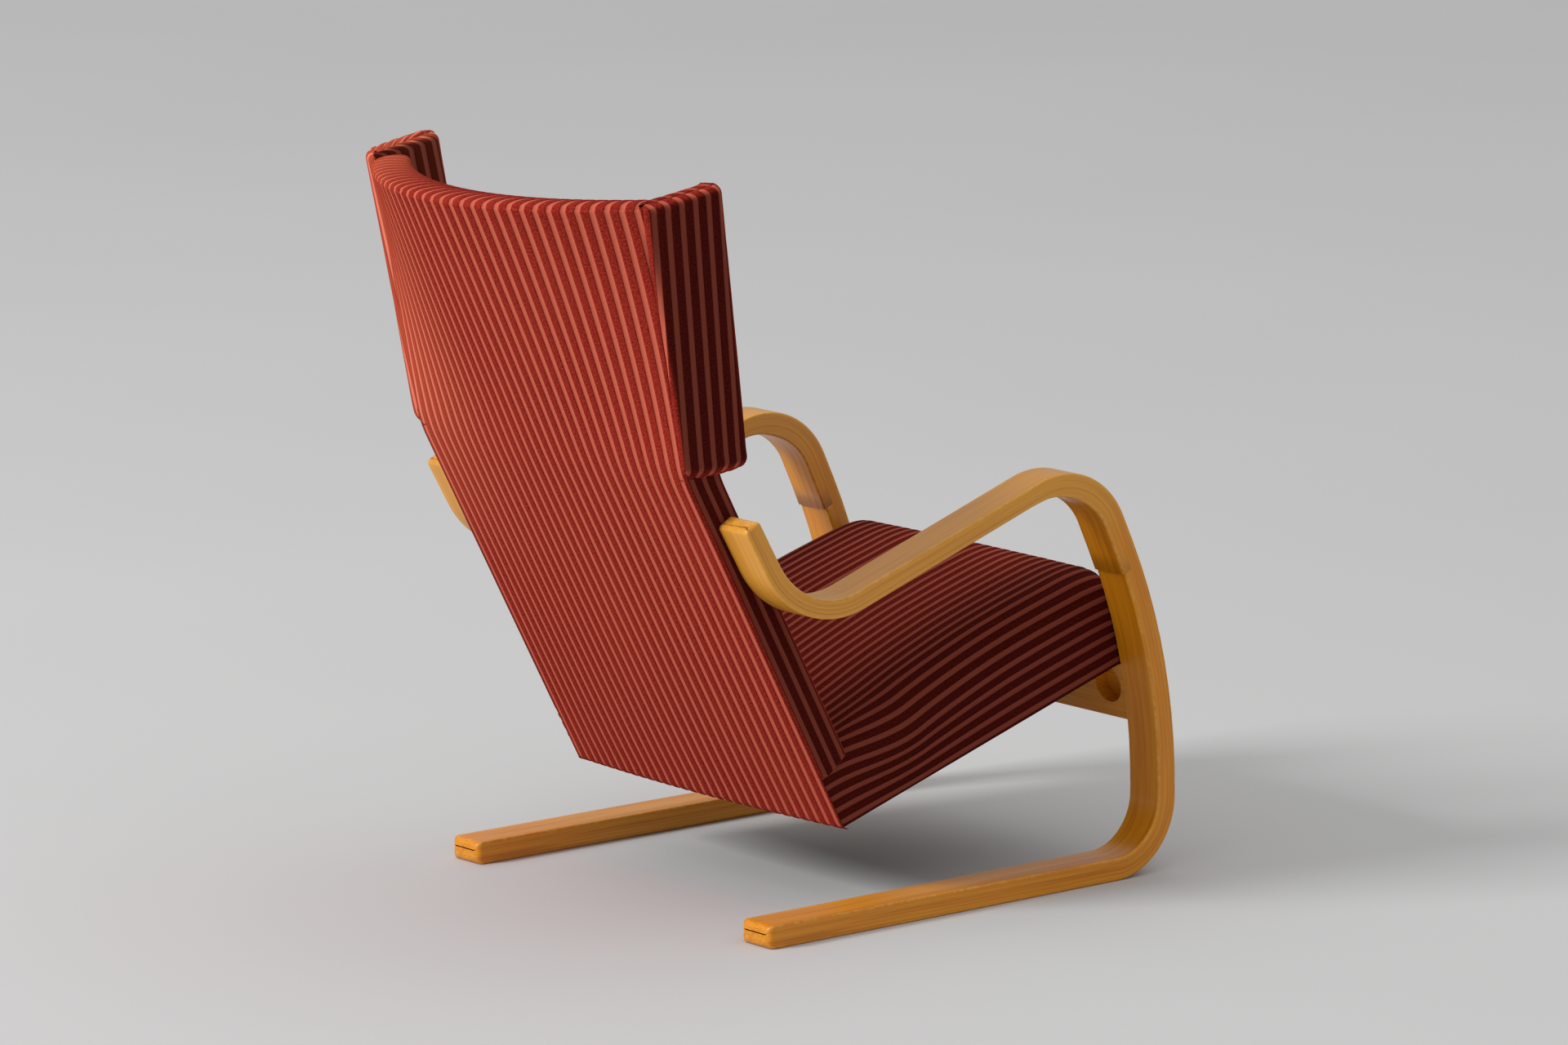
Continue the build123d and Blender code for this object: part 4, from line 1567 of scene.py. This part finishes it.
        # painted sheen: paler towards the upper left, by place in the object
        sheen_mask = nodes.math("MULTIPLY", nodes.ease(place[0], *self.sheen_x), nodes.ease(place[2], *self.sheen_z))
        given = {"Nap": nodes.attribute(PAINTED_SHADE, "Fac"), "Fade": nodes.math("MULTIPLY", sheen_mask, self.sheen_share)}
        cloth = nodes.add("Group", given, node_tree=self.group())
        finish = {
            "Base Color": cloth.outputs["Colour"],
            "Normal": nodes.bump(cloth.outputs["Height"], *self.bump),
            "Roughness": self.roughness,
            "Specular IOR Level": self.specular,
        }
        nodes.feed(shader, finish)
        return material


@dataclass(frozen=True)
class AmberBirch:
    """Laminated birch under old amber varnish, rubbed pale on its edges, with painted light paling the arm.

    Noises are given by scale, detail and roughness, bumps by strength and distance. Grain runs along the
    third axis, and the veneers lie one upon another along the second.
    """

    light: Colour = (0.76, 0.295, 0.010, 1.0)
    dark: Colour = (0.56, 0.170, 0.004, 1.0)
    line: Colour = (0.25, 0.07, 0.004, 1.0)
    # pale colour of the rubbed edges, also used for the painted light on the arm
    worn: Colour = (0.76, 0.46, 0.10, 1.0)
    streak_scale: Triple = (170.0, 420.0, 5.0)
    streak: Triple = (1.0, 4.0, 0.6)
    streak_share: float = 0.6
    cloud_scale: Triple = (40.0, 90.0, 2.2)
    cloud: Triple = (1.0, 2.0, 0.5)
    cloud_share: float = 0.4
    tone_range: Pair = (0.36, 0.66)
    veneer: float = 0.0043
    glue_range: Pair = (0.44, 0.5)
    glue_share: float = 0.35
    speck_scale: float = 46.0
    speck_range: Pair = (0.02, 0.07)
    speck_share: float = 0.8
    rare: Triple = (19.0, 2.0, 0.5)
    rare_range: Pair = (0.60, 0.66)
    chips: Triple = (140.0, 3.0, 0.6)
    chip_range: Pair = (0.42, 0.62)
    rub_share: float = 0.30
    # lengths where the painted light on the arm sets in, and its share
    arm: Pair = (1.00, 1.15)
    held_share: float = 0.28
    gloss: Pair = (0.22, 0.26)
    bump: Pair = (0.06, 0.0006)
    specular: float = 0.35
    coat: float = 0.15
    coat_roughness: float = 0.22

    def group(self) -> bpy.types.NodeTree:
        """Node group of the grain.

        Returns:
            Group with colour, height and roughness outputs.
        """
        sockets = {"Place": ("Vector", (0.0, 0.0, 0.0)), "Wear": ("Float", 0.0)}
        results = {"Colour": "Color", "Height": "Float", "Roughness": "Float"}
        nodes, given, out = new_group("bent_grain", sockets, results)
        place = given.outputs["Place"]
        _, depth, along = nodes.add("SeparateXYZ", {0: place}).outputs
        streak = nodes.noise(nodes.stretched(place, self.streak_scale), *self.streak)
        cloud = nodes.noise(nodes.stretched(place, self.cloud_scale), *self.cloud)
        fine = nodes.math("MULTIPLY", streak, self.streak_share)
        tone = nodes.math("ADD", fine, nodes.math("MULTIPLY", cloud, self.cloud_share))
        colour = nodes.mix(nodes.ease(tone, *self.tone_range), self.light, self.dark)
        layer = nodes.math("FRACT", nodes.math("DIVIDE", depth, self.veneer))
        seam = nodes.math("ABSOLUTE", nodes.math("SUBTRACT", layer, 0.5))
        glue = nodes.math("MULTIPLY", nodes.ease(seam, *self.glue_range), self.glue_share)
        speck = nodes.add("TexVoronoi", {"Vector": place, "Scale": self.speck_scale}).outputs["Distance"]
        spot = nodes.math("SUBTRACT", 1.0, nodes.ease(speck, *self.speck_range))
        rare = nodes.ease(nodes.noise(place, *self.rare), *self.rare_range)
        knot = nodes.math("MULTIPLY", nodes.math("MULTIPLY", spot, rare), self.speck_share)
        chips = nodes.ease(nodes.noise(place, *self.chips), *self.chip_range)
        rubbed = nodes.math("MULTIPLY", given.outputs["Wear"], chips)
        rub = nodes.math("MULTIPLY", rubbed, self.rub_share)
        # painted light: the arm towards its tail made paler, as if lit from above
        held = nodes.math("MULTIPLY", nodes.ease(along, *self.arm), self.held_share)
        for share, over in ((glue, self.line), (knot, self.line), (rub, self.worn), (held, self.worn)):
            colour = nodes.mix(share, colour, over)
        gloss = nodes.math("MULTIPLY_ADD", cloud, *self.gloss)
        nodes.feed(out, {"Colour": colour, "Height": streak, "Roughness": gloss})
        return nodes.tree

    def material(self, name: str, grain: bpy.types.NodeTree, bent: bool) -> bpy.types.Material:
        """Wood of some pieces.

        Args:
            name: Name of the material.
            grain: The grain's node group.
            bent: Whether the grain follows a bent strip or runs along X.

        Returns:
            The material.
        """
        material, nodes, shader = new_material(name)
        if bent:
            given = {"Place": nodes.attribute(GRAIN, "Vector"), "Wear": nodes.attribute(WEAR, "Fac")}
        else:
            x, y, z = nodes.add("SeparateXYZ", {0: nodes.object_place()}).outputs
            given = {"Place": nodes.add("CombineXYZ", {0: y, 1: z, 2: x}).outputs[0]}
        wood = nodes.add("Group", given, node_tree=grain)
        finish = {
            "Base Color": wood.outputs["Colour"],
            "Roughness": wood.outputs["Roughness"],
            "Normal": nodes.bump(wood.outputs["Height"], *self.bump),
            "Specular IOR Level": self.specular,
            "Coat Weight": self.coat,
            "Coat Roughness": self.coat_roughness,
        }
        nodes.feed(shader, finish)
        return material


@dataclass(frozen=True)
class PlainFinish:
    """Finish of a piece inside the chair: two tones mixed by noise."""

    name: str
    first: Colour
    second: Colour
    scale: Triple
    roughness: float
    metallic: float = 0.0
    noise: Triple = (1.0, 3.0, 0.6)
    tone_range: Pair = (0.35, 0.65)
    bump: Pair = (0.3, 0.0005)

    def material(self) -> bpy.types.Material:
        """Make the finish.

        Returns:
            The material.
        """
        material, nodes, shader = new_material(self.name)
        tone = nodes.noise(nodes.stretched(nodes.object_place(), self.scale), *self.noise)
        finish = {
            "Base Color": nodes.mix(nodes.ease(tone, *self.tone_range), self.first, self.second),
            "Normal": nodes.bump(tone, *self.bump),
            "Roughness": self.roughness,
            "Metallic": self.metallic,
        }
        nodes.feed(shader, finish)
        return material


INNER_FINISHES = {
    Slot.TIMBER: PlainFinish(
        "inner_timber", (0.55, 0.38, 0.2, 1.0), (0.42, 0.27, 0.13, 1.0), (160.0, 20.0, 60.0), 0.7
    ),
    Slot.WEBBING: PlainFinish(
        "jute_webbing", (0.36, 0.24, 0.12, 1.0), (0.25, 0.16, 0.07, 1.0), (700.0, 700.0, 700.0), 0.95
    ),
    Slot.LINING: PlainFinish(
        "lining_cloth", (0.02, 0.02, 0.022, 1.0), (0.035, 0.034, 0.036, 1.0), (900.0, 900.0, 900.0), 0.95
    ),
    Slot.STEEL: PlainFinish(
        "steel", (0.5, 0.5, 0.52, 1.0), (0.36, 0.36, 0.38, 1.0), (90.0, 90.0, 90.0), 0.35, 1.0
    ),
}


# Studio


@dataclass(frozen=True)
class Studio:
    """Pale floor, soft lights and the photographer's camera.

    Lights are in watts or, for the overhead one, in watts per square metre.
    """

    camera_place: Triple = (-6.7007, 5.4748, 2.0610)
    camera_height_angle: float = math.radians(10.6212)
    camera_turn: float = math.radians(230.3483)
    lens: float = 168.75
    sensor: float = 36.0
    floor_size: float = 60.0
    paper: tuple[Colour, Colour] = ((0.55, 0.55, 0.55, 1.0), (0.58, 0.58, 0.58, 1.0))
    paper_noise: Triple = (0.7, 2.0, 0.5)
    paper_roughness: float = 0.9
    paper_specular: float = 0.1
    key_place: Triple = (3.0, 11.6, 7.6)
    key_target: Triple = (0.0, 0.1, 0.4)
    key_size: float = 3.4
    key_power: float = 1420.0
    overhead_place: Triple = (0.0, 0.0, 6.0)
    overhead_power: float = 0.85
    overhead_angle: float = math.radians(110.0)
    air_colour: Colour = (1.0, 1.0, 1.0, 1.0)
    air_strength: float = 0.42

    def floor(self) -> None:
        """Lay the floor."""
        bpy.ops.mesh.primitive_plane_add(size=self.floor_size)
        floor = bpy.context.object
        floor.name = "studio_floor"
        material, nodes, shader = new_material("studio_paper")
        tone = nodes.noise(nodes.object_place(), *self.paper_noise)
        finish = {
            "Base Color": nodes.mix(tone, *self.paper),
            "Roughness": self.paper_roughness,
            "Specular IOR Level": self.paper_specular,
        }
        nodes.feed(shader, finish)
        floor.data.materials.append(material)

    def lights(self) -> None:
        """Hang the square key light and the broad overhead one, and light the air between them."""
        key = bpy.data.lights.new("key", "AREA")
        key.size = self.key_size
        key.energy = self.key_power
        lamp = place_object("key", key)
        lamp.location = self.key_place
        x, y, z = np.array(self.key_target) - np.array(self.key_place)
        lamp.rotation_euler = (math.atan2(math.hypot(x, y), -z), 0.0, math.atan2(-x, y))
        overhead = bpy.data.lights.new("overhead", "SUN")
        overhead.energy = self.overhead_power
        overhead.angle = self.overhead_angle
        place_object("overhead", overhead).location = self.overhead_place
        world = bpy.data.worlds.new("studio_air")
        world.use_nodes = True
        background = world.node_tree.nodes["Background"]
        background.inputs["Color"].default_value = self.air_colour
        background.inputs["Strength"].default_value = self.air_strength
        bpy.context.scene.world = world

    def camera(self) -> None:
        """Set up the camera."""
        data = bpy.data.cameras.new("camera")
        data.lens = self.lens
        data.sensor_width = self.sensor
        camera = place_object("camera", data)
        camera.location = self.camera_place
        camera.rotation_euler = (QUARTER_TURN - self.camera_height_angle, 0.0, self.camera_turn)
        bpy.context.scene.camera = camera
        bpy.context.scene.view_settings.view_transform = "Standard"

    def build(self) -> None:
        """Make floor, lights and camera."""
        self.floor()
        self.lights()
        self.camera()


class Armchair:
    """The whole chair: frames, upholstery and the pieces inside."""

    def __init__(self, frame: dict) -> None:
        """Make the finishes.

        Args:
            frame: The loaded CAD frame.
        """
        self.frame = frame
        self.stripes = Stripes()
        self.fabric = StripedFabric(self.stripes).material("striped_fabric")
        birch = AmberBirch()
        grain = birch.group()
        self.bent_birch = birch.material("bent_birch", grain, True)
        self.finishes = {slot: finish.material() for slot, finish in INNER_FINISHES.items()}
        self.finishes[Slot.BIRCH] = birch.material("rail_birch", grain, False)

    def dress_nodes(self) -> None:
        """Give the carried-over CAD nodes their finishes."""
        for entry in self.frame["record"]["subparts"]:
            material = self.finishes.get(Slot(entry["material_slot"]))
            mesh = self.frame["nodes"][entry["node"]].data
            if material:
                mesh.materials.clear()
                mesh.materials.append(material)

    def build(self) -> list[bpy.types.Object]:
        """Make every piece.

        Returns:
            The finished pieces.
        """
        self.dress_nodes()
        back, seat = BackForm(), SeatForm()
        pieces = []
        for side in Side:
            pieces += SideFrame(FrameSizes(), side).build(self.bent_birch)
            pieces.append(BackBorder(back, self.stripes, side).build(self.fabric))
            pieces.append(Wing(back, self.stripes, side, *WING_DIFFERENCES[side]).build(self.fabric))
        for upholstery in (OutsideBack(back, self.stripes), InsideBack(back, self.stripes)):
            pieces.append(upholstery.build(self.fabric))
        pieces.append(SeatCushion(seat, self.stripes).build(self.fabric))
        pieces.append(BottomCloth(seat).build(self.finishes[Slot.LINING]))
        return pieces


def main() -> None:
    """Build the chair and its studio, and report each piece."""
    logging.basicConfig(level=logging.INFO, format="%(name)s: %(message)s")
    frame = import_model()
    for piece in Armchair(frame).build():
        LOG.info("%s: %d faces for %s", piece.name, len(piece.data.polygons), ", ".join(piece["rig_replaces"]))
    Studio().build()


if __name__ == "__main__":
    main()
